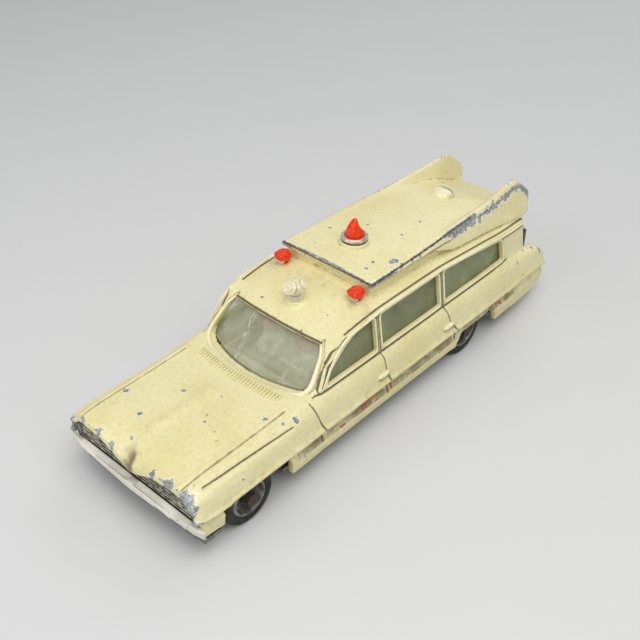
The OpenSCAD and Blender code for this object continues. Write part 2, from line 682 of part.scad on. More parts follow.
module body_shell() {
    color(cream)
    difference() {
        union() {
            difference() {
                union() {
                    lower_body();
                    cabin();
                    roof_cap();
                    drip_rails();
                    vent_bump();
                    beacon_collar();
                    fitting_bosses();
                    door_handles();
                    cowl_vent();
                }
                lower_hollow();
                cabin_hollow();
                tail_recess();
                rear_of_deck_cut();
                fin_rake_cut();
                side_windows();
                windscreen_opening();
                mouth_opening();
                bumper_seat();
                door_opening();
            }
            posts();
        }
        wheel_openings();
        for (p = rivet_places)
            translate([p[0], p[1], 0])
                cylinder(d = rivet_d + 2 * seat_gap, h = base_top + 1.5, $fn = 32);
        fitting_holes();
    }
}

module window_moulding() {
    color(clear_green)
    difference() {
        intersection() {
            cabin_prism(glass_gap, belt_z - 0.6);
            roof_prism(glass_gap);
        }
        intersection() {
            cabin_prism(glass_gap + glass_t, belt_z - 2);
            roof_prism(glass_gap + glass_t);
        }
        translate([wall_x - 1, -body_w, 0])
            cube([d_pillar_x - 2 - wall_x, 2 * body_w, drip_z * 2]);
        translate([wall_x - 1, -tub_y, 0])
            cube([cap_x - wall_x + 1, 2 * tub_y, drip_z * 2]);
    }
}

// Base plate with room for the wheels, a pressed panel between them and a wider apron under the nose
apron_x = front_x + steered_r + 0.1;
wheel_slots = [
    [front_arch_x - arch_r + 0.4, front_x + steered_r, front_out - tyre_w - play - 0.6],
    [rear_arch_x - rear_arch_r + 0.4, rear_x + tyre_r + 1.5, rear_out - tyre_w - play - 0.6]
];
base_y = ridge_y(wall_x) - stripe_depth - wall - 0.4;
module base_plate() {
    back = wall_x + wall + 0.3;
    front = nose_x - bumper_depth - 0.4;
    panel = [wheel_slots[1][1] + 3, wheel_slots[0][0] - 3];
    panel_y = base_y - 5;
    color(steel)
    difference() {
        union() {
            translate([back, -base_y, base_z])
                cube([front - back, 2 * base_y, base_t]);
            translate([apron_x, -half_w + 0.7, base_top - 0.2])
                cube([front - apron_x, 2 * half_w - 1.4, 1]);
            translate([panel[0], -panel_y, base_z - panel_depth])
                cube([panel[1] - panel[0], 2 * panel_y, panel_depth + 0.1]);
        }
        for (slot = wheel_slots, side = [-1, 1])
            translate([slot[0], side > 0 ? slot[2] : -slot[2] - body_w, base_z - 1])
                cube([slot[1] - slot[0], body_w, 4]);
        for (p = rivet_places)
            translate([p[0], p[1], base_z - 1])
                cylinder(d = rivet_d + 2 * seat_gap, h = 4);
        translate([rivet_places[0][0], 0, base_top])
            cylinder(d = rivet_d + 2 + 2 * play, h = 4);
        translate([front_x, 0, base_z - 1])
            cylinder(r = pivot_r + running_gap, h = 4);
    }
}
module base_rivets() {
    head_t = 0.6;
    color(bare_metal)
    for (p = rivet_places)
        translate([p[0], p[1], base_z - head_t]) {
            cylinder(d = rivet_d + 1.6, h = head_t);
            cylinder(d = rivet_d, h = base_t + head_t + 1.4);
        }
}

// Front end
module grille() {
    back_x = nose_x - 3.6;
    low = bumper_z + bumper_h + 2 * seat_gap;
    bar_t = 0.35;
    bar_pitch = 0.85;
    divider_pitch = (half_w - 8.5) / 4;
    color(bare_metal)
    intersection() {
        union() {
            translate([back_x, -half_w, low])
                cube([0.8, body_w, crease_z - low]);
            for (z = [low + 0.23 : bar_pitch : crease_z - 1])
                translate([back_x, -half_w, z])
                    cube([1.6, body_w, bar_t]);
            for (i = [-4 : 4])
                translate([back_x, i * divider_pitch - 0.2, low])
                    cube([1.4, 0.4, crease_z - low]);
            for (side = [-1, 1], y = [half_w - 7.6, half_w - 4.3])
                translate([back_x, side * y, low + 2.1])
                    rotate([0, 90, 0])
                        cylinder(d = 2.5, h = 1.5);
        }
        translate([back_x - 1, 0, 0])
            rotate([90, 0, 90])
                linear_extrude(6)
                    polygon(mouth(seat_gap));
    }
}
module front_bumper() {
    end_y = half_w + 0.5;
    back = nose_x - bumper_depth;
    color(bare_metal)
    difference() {
        translate([0, 0, bumper_z])
            linear_extrude(bumper_h)
                polygon([
                    [back, -end_y], [back, end_y], [nose_x - 1.3, end_y], [nose_x - 0.8, end_y - 2.5],
                    [nose_x, 1], [nose_x, -1], [nose_x - 0.8, -end_y + 2.5], [nose_x - 1.3, -end_y]
                ]);
        for (side = [-1, 1])
            translate([nose_x - 1, side * 0.44 * half_w, bumper_z + bumper_h])
                rotate([0, 30, 0])
                    cube([1.4, 0.78 * half_w, 1], center = true);
    }
}
module rear_bumper() {
    low = sill_z + 0.2;
    setback = 1.8;
    depth = wall_x - seat_gap - tail_x - setback;
    color(bare_metal)
    translate([tail_x + setback, 0, low])
        linear_extrude(3.4)
            polygon([
                [0, -recess_y + 2], [0, recess_y - 2], [1, recess_y - 0.3], [depth, recess_y - 0.3],
                [depth, -recess_y + 0.3], [1, -recess_y + 0.3]
            ]);
}

// Running gear
module axle(x, out) {
    hub_face_y = out - hub_setback;
    color(steel)
    translate([x, 0, axle_z])
        rotate([90, 0, 0]) {
            cylinder(r = axle_r, h = 2 * hub_face_y + 2 * play, center = true);
            for (side = [0, 1])
                mirror([0, 0, side])
                    translate([0, 0, hub_face_y + play / 2])
                        cylinder(r = axle_head_r, h = axle_head_t);
        }
}
module axle_holder(x, out, hole_r) {
    ear_y = out - tyre_w - play;
    color(steel)
    difference() {
        union() {
            translate([x - 4, -ear_y, carrier_z])
                cube([8, 2 * ear_y, carrier_t]);
            for (side = [-1, 1])
                translate([x, side * (ear_y - ear_t / 2), axle_z])
                    rotate([90, 0, 0]) {
                        cylinder(r = ear_r, h = ear_t, center = true);
                        translate([-ear_r, -(axle_z - carrier_z), -ear_t / 2])
                            cube([2 * ear_r, axle_z - carrier_z, ear_t]);
                    }
        }
        translate([x, 0, axle_z])
            rotate([90, 0, 0])
                cylinder(r = axle_r + running_gap, h = body_w, center = true);
        translate([x, 0, carrier_z - 1])
            cylinder(r = hole_r, h = 4);
    }
}
module front_axle() {
    axle(front_x, front_out);
}
module steering_carrier() {
    axle_holder(front_x, front_out, pivot_r + seat_gap / 2);
}
module steering_pivot() {
    color(bare_metal)
    translate([front_x, 0, base_z - seat_gap - pivot_head_t]) {
        cylinder(r = pivot_r + 0.8, h = pivot_head_t);
        cylinder(r = pivot_r, h = carrier_z + carrier_t - base_z + seat_gap + pivot_head_t);
    }
}
module rear_axle() {
    axle(rear_x, rear_out);
}
module rear_bracket() {
    axle_holder(rear_x, rear_out, pivot_r);
}

// Wheels: a dished hub and a round-shouldered tyre, turned about the axle
module at_wheel(x, side) {
    translate([x, 0, axle_z])
        rotate([side > 0 ? -90 : 90, 0, 0])
            children();
}
module hub(x, side, out) {
    lip = 0.7;
    wheel_in = out - tyre_w;
    dish_y = out - dish_depth;
    hub_face_y = out - hub_setback;
    color(bare_metal)
    at_wheel(x, side)
        rotate_extrude()
            polygon([
                [axle_r + running_gap, wheel_in], [axle_r + 1.2, wheel_in], [axle_r + 1.2, wheel_in + 0.8],
                [rim_r, wheel_in + 0.8], [rim_r, out - 0.3], [rim_r - 0.3, out], [rim_r - lip, out],
                [rim_r - lip - 0.5, dish_y], [axle_r + 1, dish_y + 0.2], [axle_r + 0.6, hub_face_y],
                [axle_r + running_gap, hub_face_y]
            ]);
}
module tyre(x, side, out) {
    wheel_in = out - tyre_w;
    shoulder = 0.8;
    tread = 0.35;
    inner = rim_r + seat_gap / 2;
    color(rubber)
    at_wheel(x, side)
        rotate_extrude()
            polygon([
                [inner, wheel_in + 0.3], [inner, out - 0.2], [rim_r + 0.8, out],
                [tyre_r - shoulder, out], [tyre_r - 0.25, out - 0.3], [tyre_r, out - shoulder],
                [tyre_r, out - tyre_w * 0.45], [tyre_r - tread, out - tyre_w * 0.48],
                [tyre_r - tread, out - tyre_w * 0.52], [tyre_r, out - tyre_w * 0.55],
                [tyre_r, wheel_in + shoulder], [tyre_r - 0.25, wheel_in + 0.3], [tyre_r - shoulder, wheel_in]
            ]);
}

// Rear door
module rear_door() {
    top_cut = 1.4;
    pane_y = door_y - 3.6;
    pane_low = belt_z - 2;
    pane_high = door_high_z - 1.6;
    color(cream)
    difference() {
        union() {
            translate([wall_x, 0, 0])
                rotate([90, 0, 90])
                    linear_extrude(door_t)
                        polygon(whole([
                            [door_y, door_low_z], [door_y, door_high_z - top_cut],
                            [door_y - top_cut, door_high_z], [0, door_high_z]
                        ]));
            translate([hinge_x, hinge_y, hinge_low_z + knuckle_h + door_gap])
                cylinder(r = hinge_r, h = knuckle_h - 2 * door_gap);
            translate([hinge_x, hinge_y - 2.4, hinge_low_z + knuckle_h + door_gap])
                cube([hinge_r + 0.2, 2.2, knuckle_h - 2 * door_gap]);
            translate([wall_x - 0.9, -door_y + 1.6, belt_z - 4])
                cube([1, 2.6, 0.8]);
        }
        translate([wall_x - 1, -pane_y, pane_low])
            cube([door_t + 2, 2 * pane_y, pane_high - pane_low]);
        translate([hinge_x, hinge_y, hinge_low_z])
            cylinder(r = hinge_pin_d / 2 + running_gap, h = 3 * knuckle_h);
    }
}
module rear_door_glass() {
    pane_y = door_y - 3;
    color(clear_green)
    translate([wall_x + door_t, -pane_y, belt_z - 2.6])
        cube([glass_t, 2 * pane_y, door_high_z - belt_z + 1.6]);
}
module hinge_bracket() {
    leaf_t = 0.6;
    strip_y = hinge_y + hinge_r + play;
    color(bare_metal)
    difference() {
        union()
            for (z = [hinge_low_z, hinge_low_z + 2 * knuckle_h]) {
                translate([hinge_x, hinge_y, z])
                    cylinder(r = hinge_r, h = knuckle_h);
                translate([wall_x - seat_gap - leaf_t, hinge_y, z])
                    cube([leaf_t, recess_y - hinge_y - 0.2, knuckle_h]);
                translate([wall_x - seat_gap - leaf_t, strip_y, hinge_low_z])
                    cube([leaf_t, recess_y - strip_y - 0.2, 3 * knuckle_h]);
            }
        translate([hinge_x, hinge_y, hinge_low_z - 1])
            cylinder(r = hinge_pin_d / 2 + running_gap, h = 3 * knuckle_h + 2);
    }
}
module hinge_pin() {
    color(steel)
    translate([hinge_x, hinge_y, hinge_low_z - 0.3])
        cylinder(d = hinge_pin_d, h = 3 * knuckle_h + 0.6);
}

// Roof fittings
module beacon_ring() {
    color(bare_metal)
    translate([beacon_x, 0, collar_top])
        difference() {
            cylinder(d = beacon_d - 0.4, h = 0.9);
            translate([0, 0, -1])
                cylinder(d = beacon_d - 2.2, h = 3);
        }
}
module beacon_lens() {
    r = beacon_d / 2 - 1.1 - seat_gap;
    color(lamp_red)
    translate([beacon_x, 0, collar_top])
        rotate_extrude()
            polygon([
                [0, -0.9], [stud_r, -0.9], [stud_r, 0], [r, 0], [r, 1.1], [r * 0.93, 2], [r * 0.72, beacon_h - 1.7],
                [r * 0.5, beacon_h - 0.6], [r * 0.25, beacon_h], [0, beacon_h]
            ]);
}
module lamp(side) {
    color(lamp_red)
    translate([lamp_x, side * lamp_y, lamp_z + lamp_r + 0.3]) {
        rotate([0, 90, 0])
            cylinder(r = lamp_r, h = 1.6);
        sphere(r = lamp_r);
        translate([1.6, 0, 0])
            rotate([0, 90, 0])
                cylinder(r = lamp_r * 0.6, h = 0.5);
        translate([0, 0, -lamp_r - 0.3])
            cylinder(r = lamp_stem_r, h = lamp_r);
        translate([0, 0, -lamp_r - 0.3 - wall])
            cylinder(r = lamp_stem_r - 0.2, h = wall + 0.1);
    }
}
module siren() {
    r = siren_d / 2;
    foot_r = siren_foot_d / 2;
    color(clear_green)
    translate([siren_x, 0, siren_z])
        rotate_extrude()
            polygon([
                [0, -wall], [stud_r, -wall], [stud_r, 0], [foot_r, 0], [foot_r, 0.7], [r, 1], [r, 1.5],
                [r * 0.94, 1.7], [r * 0.94, 2.1], [r, 2.3], [r * 0.96, 3], [r * 0.82, siren_h - 0.9],
                [r * 0.5, siren_h - 0.2], [0, siren_h]
            ]);
}

// Interior
module interior_tub() {
    side_t = 0.8;
    back = wall_x + wall + 5.2;
    front = screen_x - 1;
    side_top = belt_z - 3.5;
    leg_x = [back + 1, c_pillar_x, b_pillar_x, front - 3];
    color(pale_plastic) {
        translate([back, -tub_y, floor_z])
            cube([front - back, 2 * tub_y, floor_top - floor_z]);
        for (side = [-1, 1])
            translate([back, side > 0 ? tub_y - side_t : -tub_y, floor_z])
                cube([front - back, side_t, side_top - floor_z]);
        translate([front - side_t, -tub_y, floor_z])
            cube([side_t, 2 * tub_y, side_top - floor_z]);
        for (x = leg_x, side = [-1, 1])
            translate([x, side * (tub_y - 3), base_top])
                cylinder(r = 1.2, h = floor_z - base_top + 0.2);
    }
}
module front_bench() {
    width = 2 * tub_y - 2;
    color(pale_plastic)
    translate([bench_x, -width / 2, floor_top]) {
        cube([seat_l, width, seat_top - floor_top]);
        translate([-bench_back_t, 0, 0])
            cube([bench_back_t, width, bench_back_h]);
    }
}
module dashboard() {
    low = belt_z - 3.5 + seat_gap;
    color(pale_plastic)
    translate([dash_x, -tub_y + 0.5, low])
        difference() {
            cube([screen_x - 2.6 - dash_x, 2 * tub_y - 1, dash_z - low]);
            translate([-0.1, 3, 0.5])
                cube([0.5, 5, dash_z - low - 1]);
        }
}
column_tilt = 60;
column_l = 3.4;
module at_column() {
    translate([dash_x - seat_gap, driver_y, dash_z - 0.9])
        rotate([0, -column_tilt, 0])
            children();
}
module steering_column() {
    color(steel)
    intersection() {
        at_column()
            translate([0, 0, -3])
                cylinder(d = 0.9, h = column_l + 3);
        translate([dash_x - seat_gap - 20, -body_w, 0])
            cube([20, 2 * body_w, drip_z]);
    }
}
module steering_wheel() {
    color(pale_plastic)
    at_column()
        translate([0, 0, column_l + seat_gap]) {
            rotate_extrude()
                translate([steering_d / 2 - 0.4, 0.2])
                    polygon([[-0.4, -0.2], [0, -0.4], [0.4, -0.2], [0.4, 0.2], [0, 0.4], [-0.4, 0.2]]);
            cylinder(d = 1.6, h = 0.5);
            for (turn = [0, 120, 240])
                rotate([0, 0, turn])
                    translate([0.3, -0.25, 0.05])
                        cube([steering_d / 2 - 0.75, 0.5, 0.3]);
        }
}
// A seated figure: hips on the bench, body, arms forward, neck and head
module figure(y, lean) {
    shoulder_z = 5.2;
    translate([bench_x + 3.2, y, seat_top + seat_gap]) {
        color(white_cloth) {
            rotate_extrude()
                polygon([[0, 0], [2.3, 0], [2.5, 1], [2.3, 3], [2.6, shoulder_z - 0.6], [2.1, shoulder_z + 0.3],
                    [1, shoulder_z + 0.8], [0, shoulder_z + 0.8]]);
            for (side = [-1, 1])
                hull() {
                    translate([0, side * 2.3, shoulder_z - 0.6])
                        sphere(d = 1.7, $fn = 16);
                    translate([3.4 + lean, side * 2.2, shoulder_z - 3])
                        sphere(d = 1.5, $fn = 16);
                }
            for (side = [-1, 1])
                translate([0, side * 1.2, 1.1])
                    rotate([0, 90, 0])
                        cylinder(d = 1.9, h = 3.6);
        }
        color(skin) {
            translate([0, 0, shoulder_z])
                cylinder(d = 1.8, h = 2);
            translate([0.4, 0, shoulder_z + 1.1 + head_d / 2])
                sphere(d = head_d);
        }
    }
}
module driver_figure() {
    figure(driver_y, 0.3);
}
module attendant_figure() {
    figure(-driver_y, -0.6);
}

// Stretcher with its patient
module stretcher_frame() {
    rail = 1;
    top = stretcher_top - floor_top;
    color(bare_metal)
    translate([stretcher_x, 0, floor_top]) {
        for (side = [-1, 1])
            translate([-stretcher_l / 2, side * (stretcher_w / 2 - rail / 2) - rail / 2, top - rail])
                cube([stretcher_l, rail, rail]);
        for (f = [-0.5, -0.25, 0, 0.25, 0.5])
            translate([f * (stretcher_l - rail) - rail / 2, -stretcher_w / 2, top - rail])
                cube([rail, stretcher_w, rail]);
        for (f = [-0.4, 0.4], side = [-1, 1])
            translate([f * stretcher_l, side * (stretcher_w / 2 - rail), 0])
                cylinder(r = 0.7, h = top - rail / 2);
    }
}
module stretcher_mattress() {
    color(white_cloth)
    translate([stretcher_x, 0, stretcher_top])
        intersection() {
            translate([0, 0, 0.9])
                cube([stretcher_l - 1, stretcher_w - 1, 1.8], center = true);
            translate([0, 0, -20])
                rotate([0, 90, 0])
                    cylinder(r = 21.8, h = stretcher_l, center = true);
        }
}
patient_z = stretcher_top + 1.8 + seat_gap;
module patient_figure() {
    color(skin)
    translate([stretcher_x + stretcher_l / 2 - 5, 0, patient_z + head_d / 2])
        sphere(d = head_d);
    color(white_cloth)
    translate([stretcher_x + stretcher_l / 2 - 8.4, 0, patient_z + 1.6])
        rotate([0, 90, 0])
            intersection() {
                cylinder(r1 = 2.4, r2 = 1.5, h = 2.4);
                translate([-3, -4, 0])
                    cube([4.6, 8, 3]);
            }
}
// A blanket drawn over the patient: crowned across, higher over the feet and the chest
function blanket_top(u) = 1.9 + 0.9 * sin(180 * u) + 0.7 * ease((u - 0.75) * 6) * ease((1 - u) * 8);
module blanket() {
    length = stretcher_l - 11;
    steps = 14;
    half = stretcher_w / 2 - 0.9;
    start_x = stretcher_x - stretcher_l / 2 + 1.6;
    color(lamp_red)
    loft([for (i = [0 : steps])
        let (u = i / steps, h = blanket_top(1 - u) * (0.8 + 0.2 * ease(u * 5)))
        ring_x(start_x + u * length, whole([
            [half, patient_z], [half + 0.15 * sin(u * 1080), patient_z + 0.5], [half * 0.8, patient_z + h * 0.72],
            [half * 0.55, patient_z + h * 0.95], [half * 0.25, patient_z + h], [0, patient_z + h * 1.02]
        ]))]);
}

body_shell();
window_moulding();
base_plate();
base_rivets();
grille();
front_bumper();
rear_bumper();
front_axle();
steering_carrier();
steering_pivot();
rear_axle();
rear_bracket();
hub(front_x, 1, front_out);  // hub_front_left
tyre(front_x, 1, front_out);  // tyre_front_left
hub(front_x, -1, front_out);  // hub_front_right
tyre(front_x, -1, front_out);  // tyre_front_right
hub(rear_x, 1, rear_out);  // hub_rear_left
tyre(rear_x, 1, rear_out);  // tyre_rear_left
hub(rear_x, -1, rear_out);  // hub_rear_right
tyre(rear_x, -1, rear_out);  // tyre_rear_right
rear_door();
rear_door_glass();
hinge_bracket();
hinge_pin();
beacon_ring();
beacon_lens();
lamp(1);  // lamp_left
lamp(-1);  // lamp_right
siren();
interior_tub();
front_bench();
dashboard();
steering_column();
steering_wheel();
driver_figure();
attendant_figure();
stretcher_frame();
stretcher_mattress();
patient_figure();
blanket();
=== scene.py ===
"""Dresses the toy ambulance: worn enamel, clear plastic, spun hubs and fine trim round the CAD frame."""

import bmesh
import bpy
import numpy as np
from mathutils import Matrix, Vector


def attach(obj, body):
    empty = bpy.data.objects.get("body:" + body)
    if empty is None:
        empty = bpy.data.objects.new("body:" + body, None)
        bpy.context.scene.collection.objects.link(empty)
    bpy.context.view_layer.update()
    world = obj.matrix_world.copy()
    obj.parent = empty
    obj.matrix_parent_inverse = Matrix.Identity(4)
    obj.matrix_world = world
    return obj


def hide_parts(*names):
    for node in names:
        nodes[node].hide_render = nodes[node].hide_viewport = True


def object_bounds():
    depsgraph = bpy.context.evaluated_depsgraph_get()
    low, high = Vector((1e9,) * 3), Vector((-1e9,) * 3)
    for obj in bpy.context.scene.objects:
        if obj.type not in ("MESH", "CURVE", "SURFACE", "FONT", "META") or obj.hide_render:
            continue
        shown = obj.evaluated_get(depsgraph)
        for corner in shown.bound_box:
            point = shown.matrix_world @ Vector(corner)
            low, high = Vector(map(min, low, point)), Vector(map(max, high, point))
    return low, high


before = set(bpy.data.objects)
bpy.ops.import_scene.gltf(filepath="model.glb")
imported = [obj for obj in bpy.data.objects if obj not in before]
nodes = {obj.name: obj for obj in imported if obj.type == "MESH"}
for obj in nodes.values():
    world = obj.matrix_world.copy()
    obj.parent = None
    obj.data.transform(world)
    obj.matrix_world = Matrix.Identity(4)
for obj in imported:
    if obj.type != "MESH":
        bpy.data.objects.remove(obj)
cad_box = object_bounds()
scene = bpy.context.scene
link = scene.collection.objects.link
MM = 0.001
BOX_LOW, BOX_HIGH = (np.array(corner) / MM for corner in cad_box)

# Main places of the casting, in mm, as in the part's source: X ahead, Y to the left, Z up
NOSE_X = 63.5
LIP_X, LIP_Z = 62.6, 16.6
CAP_X, CAP_Z = 4.9, 34.4
WALL_X = -56.6
D_PILLAR_X = -43.4
BELT_X, BELT_Z = (-45.5, 27.5), 18.9
BELT_LINE_Z = BELT_Z - 0.05
CREASE_X, CREASE_Y = (34, LIP_X), 15.4
BAND_X = (-48, 34.5)
STRIPE_REAR_X = -50
HANDLE_X = (6.9, -17.6)
AXLE_X, AXLE_Z = (48.1, -27.4), 6.6

# Roof fittings, by the length and height of each foot, and the radius of a figure's head
BEACON = (-5.1, 35.7)
SIREN = (14.7, 29.8)
VENT = (-39.4, 32.77)
HEAD_R = 2.2

VOXEL = 0.29
BODY_FACES = 190_000

# How much of each softening step is pushed back, and a distance too great to be drawn, in mm
PUSH_BACK = 1.04
FAR = 9

# Camera fitted to the photograph: degrees, mm and pixels
AZIMUTH, ELEVATION, ROLL = 131.91, 36.57, 0.55
CAMERA_PLACE = (136.29, 116.59, 148.62)
FOCAL_PX, PHOTO_PX, SENSOR_MM = 940.39, 640, 36

# Area lamps: name, place and size in metres, watts
LAMPS = [
    ("key_light", (0.10, 0.18, 0.46), 0.42, 1.73),
    ("fill_light", (0.42, -0.10, 0.19), 0.4, 0.6),
    ("back_light", (-0.45, -0.1, 0.34), 0.5, 0.45),
]
LAMP_AIM = (0, 0, 0.015)
WORLD_STRENGTH = 0.5
FLOOR_HALF = 3.0


# Small mesh tools
def smoothstep(a, b, x):
    """Eases from 0 at a to 1 at b, which may be below a."""
    t = np.clip((x - a) / (b - a), 0, 1)
    return t * t * (3 - 2 * t)


def unit(vectors):
    return vectors / np.linalg.norm(vectors, axis=-1, keepdims=True)


def line_distance(x, z, start, end):
    """Distance in a plane from points (x, z) to the stretch between two points."""
    (x0, z0), (x1, z1) = start, end
    dx, dz = x1 - x0, z1 - z0
    t = np.clip(((x - x0) * dx + (z - z0) * dz) / (dx * dx + dz * dz), 0, 1)
    return np.hypot(x - x0 - t * dx, z - z0 - t * dz)


def path_distance(x, z, points):
    """Distance from points (x, z) to the nearest stretch of a path."""
    return np.min([line_distance(x, z, a, b) for a, b in zip(points, points[1:])], axis=0)


def read(items, key, width, kind):
    """The values of a mesh's items, as rows of the width given."""
    values = np.empty(len(items) * width, dtype=kind)
    items.foreach_get(key, values)
    return values.reshape(-1, width)


def evaluated_mesh(item):
    """An object's mesh with its modifiers applied."""
    graph = bpy.context.evaluated_depsgraph_get()
    return bpy.data.meshes.new_from_object(item.evaluated_get(graph))


class Skin:
    """An even mesh of a CAD node in mm, held in arrays so that it can be softened and engraved."""

    def __init__(self, node, voxel):
        mesh = nodes[node].data.copy()
        mesh.transform(Matrix.Scale(1 / MM, 4))
        bm = bmesh.new()
        bm.from_mesh(mesh)
        bmesh.ops.remove_doubles(bm, verts=bm.verts, dist=1e-4)
        bm.to_mesh(mesh)
        bm.free()
        work = bpy.data.objects.new("remesh_work", mesh)
        link(work)
        remesh = work.modifiers.new("even", "REMESH")
        remesh.mode = "VOXEL"
        remesh.voxel_size = voxel
        even = evaluated_mesh(work)
        self.co = read(even.vertices, "co", 3, float)
        self.quads = read(even.loops, "vertex_index", 1, np.int64).reshape(-1, 4)
        self.a, self.b = read(even.edges, "vertices", 2, np.int64).T
        self.degree = sum(np.bincount(end, minlength=len(self.co)) for end in (self.a, self.b))
        bpy.data.objects.remove(work)
        bpy.data.meshes.remove(mesh)
        bpy.data.meshes.remove(even)

    def mean_of_neighbours(self, values):
        n = len(values)
        total = np.bincount(self.a, values[self.b], n) + np.bincount(self.b, values[self.a], n)
        return total / np.maximum(self.degree, 1)

    def mean_places(self, co):
        return np.stack([self.mean_of_neighbours(co[:, k]) for k in range(3)], axis=1)

    def pull(self, share):
        """Moves points towards the mean of their neighbours, by one share or a share for each."""
        self.co += np.reshape(share, (-1, 1)) * (self.mean_places(self.co) - self.co)

    def soften(self, passes):
        """Rounds off the grid's steps without shrinking the shape."""
        for _ in range(passes):
            self.pull(0.5)
            self.pull(-0.5 * PUSH_BACK)

    def normals(self):
        p = self.co[self.quads]
        face = np.cross(p[:, 2] - p[:, 0], p[:, 3] - p[:, 1])
        corners, count = self.quads.ravel(), len(self.co)
        out = np.stack([np.bincount(corners, np.repeat(face[:, k], 4), count) for k in range(3)], axis=1)
        return out / np.maximum(np.linalg.norm(out, axis=1, keepdims=True), 1e-9)

    def bend(self, spread):
        """How far each point stands proud of its surroundings, in mm: below 0 in a corner."""
        mean = self.co.copy()
        for _ in range(spread):
            mean = self.mean_places(mean)
        return np.einsum("ij,ij->i", self.co - mean, self.normals())


def soft_skin(node, voxel, passes, melt):
    """A node's skin, softened, and then melted a little further by plain pulls."""
    skin = Skin(node, voxel * (1))
    skin.soften(passes)
    for _ in range(melt):
        skin.pull(0.5)
    return skin


def shares_for(points, wear=0.0, grime_and_shade=0.0, stripe=0.0, line=0.0):
    """The four painted shares of each point; what they mean is up to the material."""
    return np.column_stack([np.broadcast_to(share, len(points)) for share in (wear, grime_and_shade, stripe, line)])


def finish_piece(name, co, faces, material, body, stands_for=(), shares=None, keep=None, plain=None):
    """Makes a piece from points in mm, with its shares as a colour attribute.

    A piece with more triangles than keep is thinned out at its plain points.
    """
    mesh = bpy.data.meshes.new(name)
    points = np.clip(co, BOX_LOW, BOX_HIGH) * MM
    mesh.from_pydata(points.tolist(), [], [[int(v) for v in face] for face in faces])
    shares = shares_for(co) if shares is None else shares
    attribute = mesh.attributes.new("finish", "FLOAT_COLOR", "POINT")
    attribute.data.foreach_set("color", shares.astype(np.float32).ravel())
    piece = bpy.data.objects.new(name, mesh)
    link(piece)
    if keep and len(mesh.polygons) * 2 > keep:
        group = piece.vertex_groups.new(name="plain")
        group.add([int(v) for v in np.flatnonzero(plain)], 1.0, "REPLACE")
        decimate = piece.modifiers.new("fewer", "DECIMATE")
        decimate.vertex_group = group.name
        decimate.ratio = keep / (len(mesh.polygons) * 2)
        lighter = evaluated_mesh(piece)
        piece.modifiers.clear()
        piece.data = lighter
        bpy.data.meshes.remove(mesh)
        lighter.name = name
    piece.data.shade_smooth()
    piece.data.materials.append(material)
    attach(piece, body)
    if stands_for:
        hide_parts(*stands_for)


# Materials
class Look:
    """A material, with short names for the nodes that it is made of."""

    def __init__(self, name):
        self.material = bpy.data.materials.new(name)
        self.material.use_nodes = True
        self.tree = self.material.node_tree
        self.shader = self.tree.nodes["Principled BSDF"]
        self.place = self.add("ShaderNodeTexCoord").outputs["Object"]

    def add(self, kind, **settings):
        node = self.tree.nodes.new(kind)
        for key, value in settings.items():
            setattr(node, key, value)
        return node

    def put(self, socket, value):
        if isinstance(value, bpy.types.NodeSocket):
            self.tree.links.new(value, socket)
        else:
            socket.default_value = value

    def set(self, **values):
        """Sets the shader's inputs, with _ for a space in a name."""
        for key, value in values.items():
            self.put(self.shader.inputs[key.replace("_", " ")], value)

    def noise(self, size_mm, detail=4, rough=0.55, place=None):
        """Cloudy noise from 0 to 1, with features of about the size given."""
        node = self.add("ShaderNodeTexNoise")
        self.put(node.inputs["Vector"], place or self.place)
        node.inputs["Scale"].default_value = 1 / (size_mm * MM)
        node.inputs["Detail"].default_value = detail
        node.inputs["Roughness"].default_value = rough
        return node.outputs["Fac"]

    def stretched(self, x, y, z):
        node = self.add("ShaderNodeMapping")
        self.put(node.inputs["Vector"], self.place)
        node.inputs["Scale"].default_value = (x, y, z)
        return node.outputs["Vector"]

    def math(self, operation, a, b=0.0):
        node = self.add("ShaderNodeMath", operation=operation)
        self.put(node.inputs[0], a)
        self.put(node.inputs[1], b)
        return node.outputs[0]

    def times(self, a, b):
        return self.math("MULTIPLY", a, b)

    def span(self, value, low, high, to_low=0.0, to_high=1.0):
        """Eases from to_low to to_high while the value goes from low to high."""
        node = self.add("ShaderNodeMapRange", interpolation_type="SMOOTHSTEP")
        self.put(node.inputs["Value"], value)
        for key, number in (("From Min", low), ("From Max", high), ("To Min", to_low), ("To Max", to_high)):
            node.inputs[key].default_value = number
        return node.outputs["Result"]

    def mix(self, share, a, b, kind="RGBA"):
        node = self.add("ShaderNodeMix", data_type=kind)
        self.put(node.inputs["Factor"], share)
        self.put(node.inputs["A"], a)
        self.put(node.inputs["B"], b)
        return node.outputs["Result"]

    def blend(self, share, a, b):
        """Like mix, for numbers."""
        return self.mix(share, a, b, "FLOAT")

    def along(self, axis, vector=None):
        """One axis of a vector, or else of the place in metres."""
        node = self.add("ShaderNodeSeparateXYZ")
        self.put(node.inputs[0], vector or self.place)
        return node.outputs[axis]

    def painted(self):
        """The wear, soiling-and-shade, stripe and line shares that a piece carries; the line share is partly
        painted shade.
        """
        attribute = self.add("ShaderNodeAttribute", attribute_name="finish")
        split = self.add("ShaderNodeSeparateColor")
        self.put(split.inputs[0], attribute.outputs["Color"])
        return [*split.outputs, attribute.outputs["Alpha"]]

    def ragged(self, share, noise, amount):
        """A share with a torn border: the noise pushes it up and down."""
        return self.math("ADD", share, self.times(self.math("SUBTRACT", noise, 0.5), amount))

    def bump(self, height, depth_mm, strength):
        node = self.add("ShaderNodeBump")
        node.inputs["Strength"].default_value = strength
        node.inputs["Distance"].default_value = depth_mm * MM
        self.put(node.inputs["Height"], height)
        self.set(Normal=node.outputs["Normal"])


def rgb(r, g, b):
    """A colour typed as it looks, 0 to 255, in the renderer's linear terms."""
    parts = (c / 255 for c in (r, g, b))
    return tuple(((c + 0.055) / 1.055) ** 2.4 if c > 0.04 else c / 12.92 for c in parts) + (1.0,)
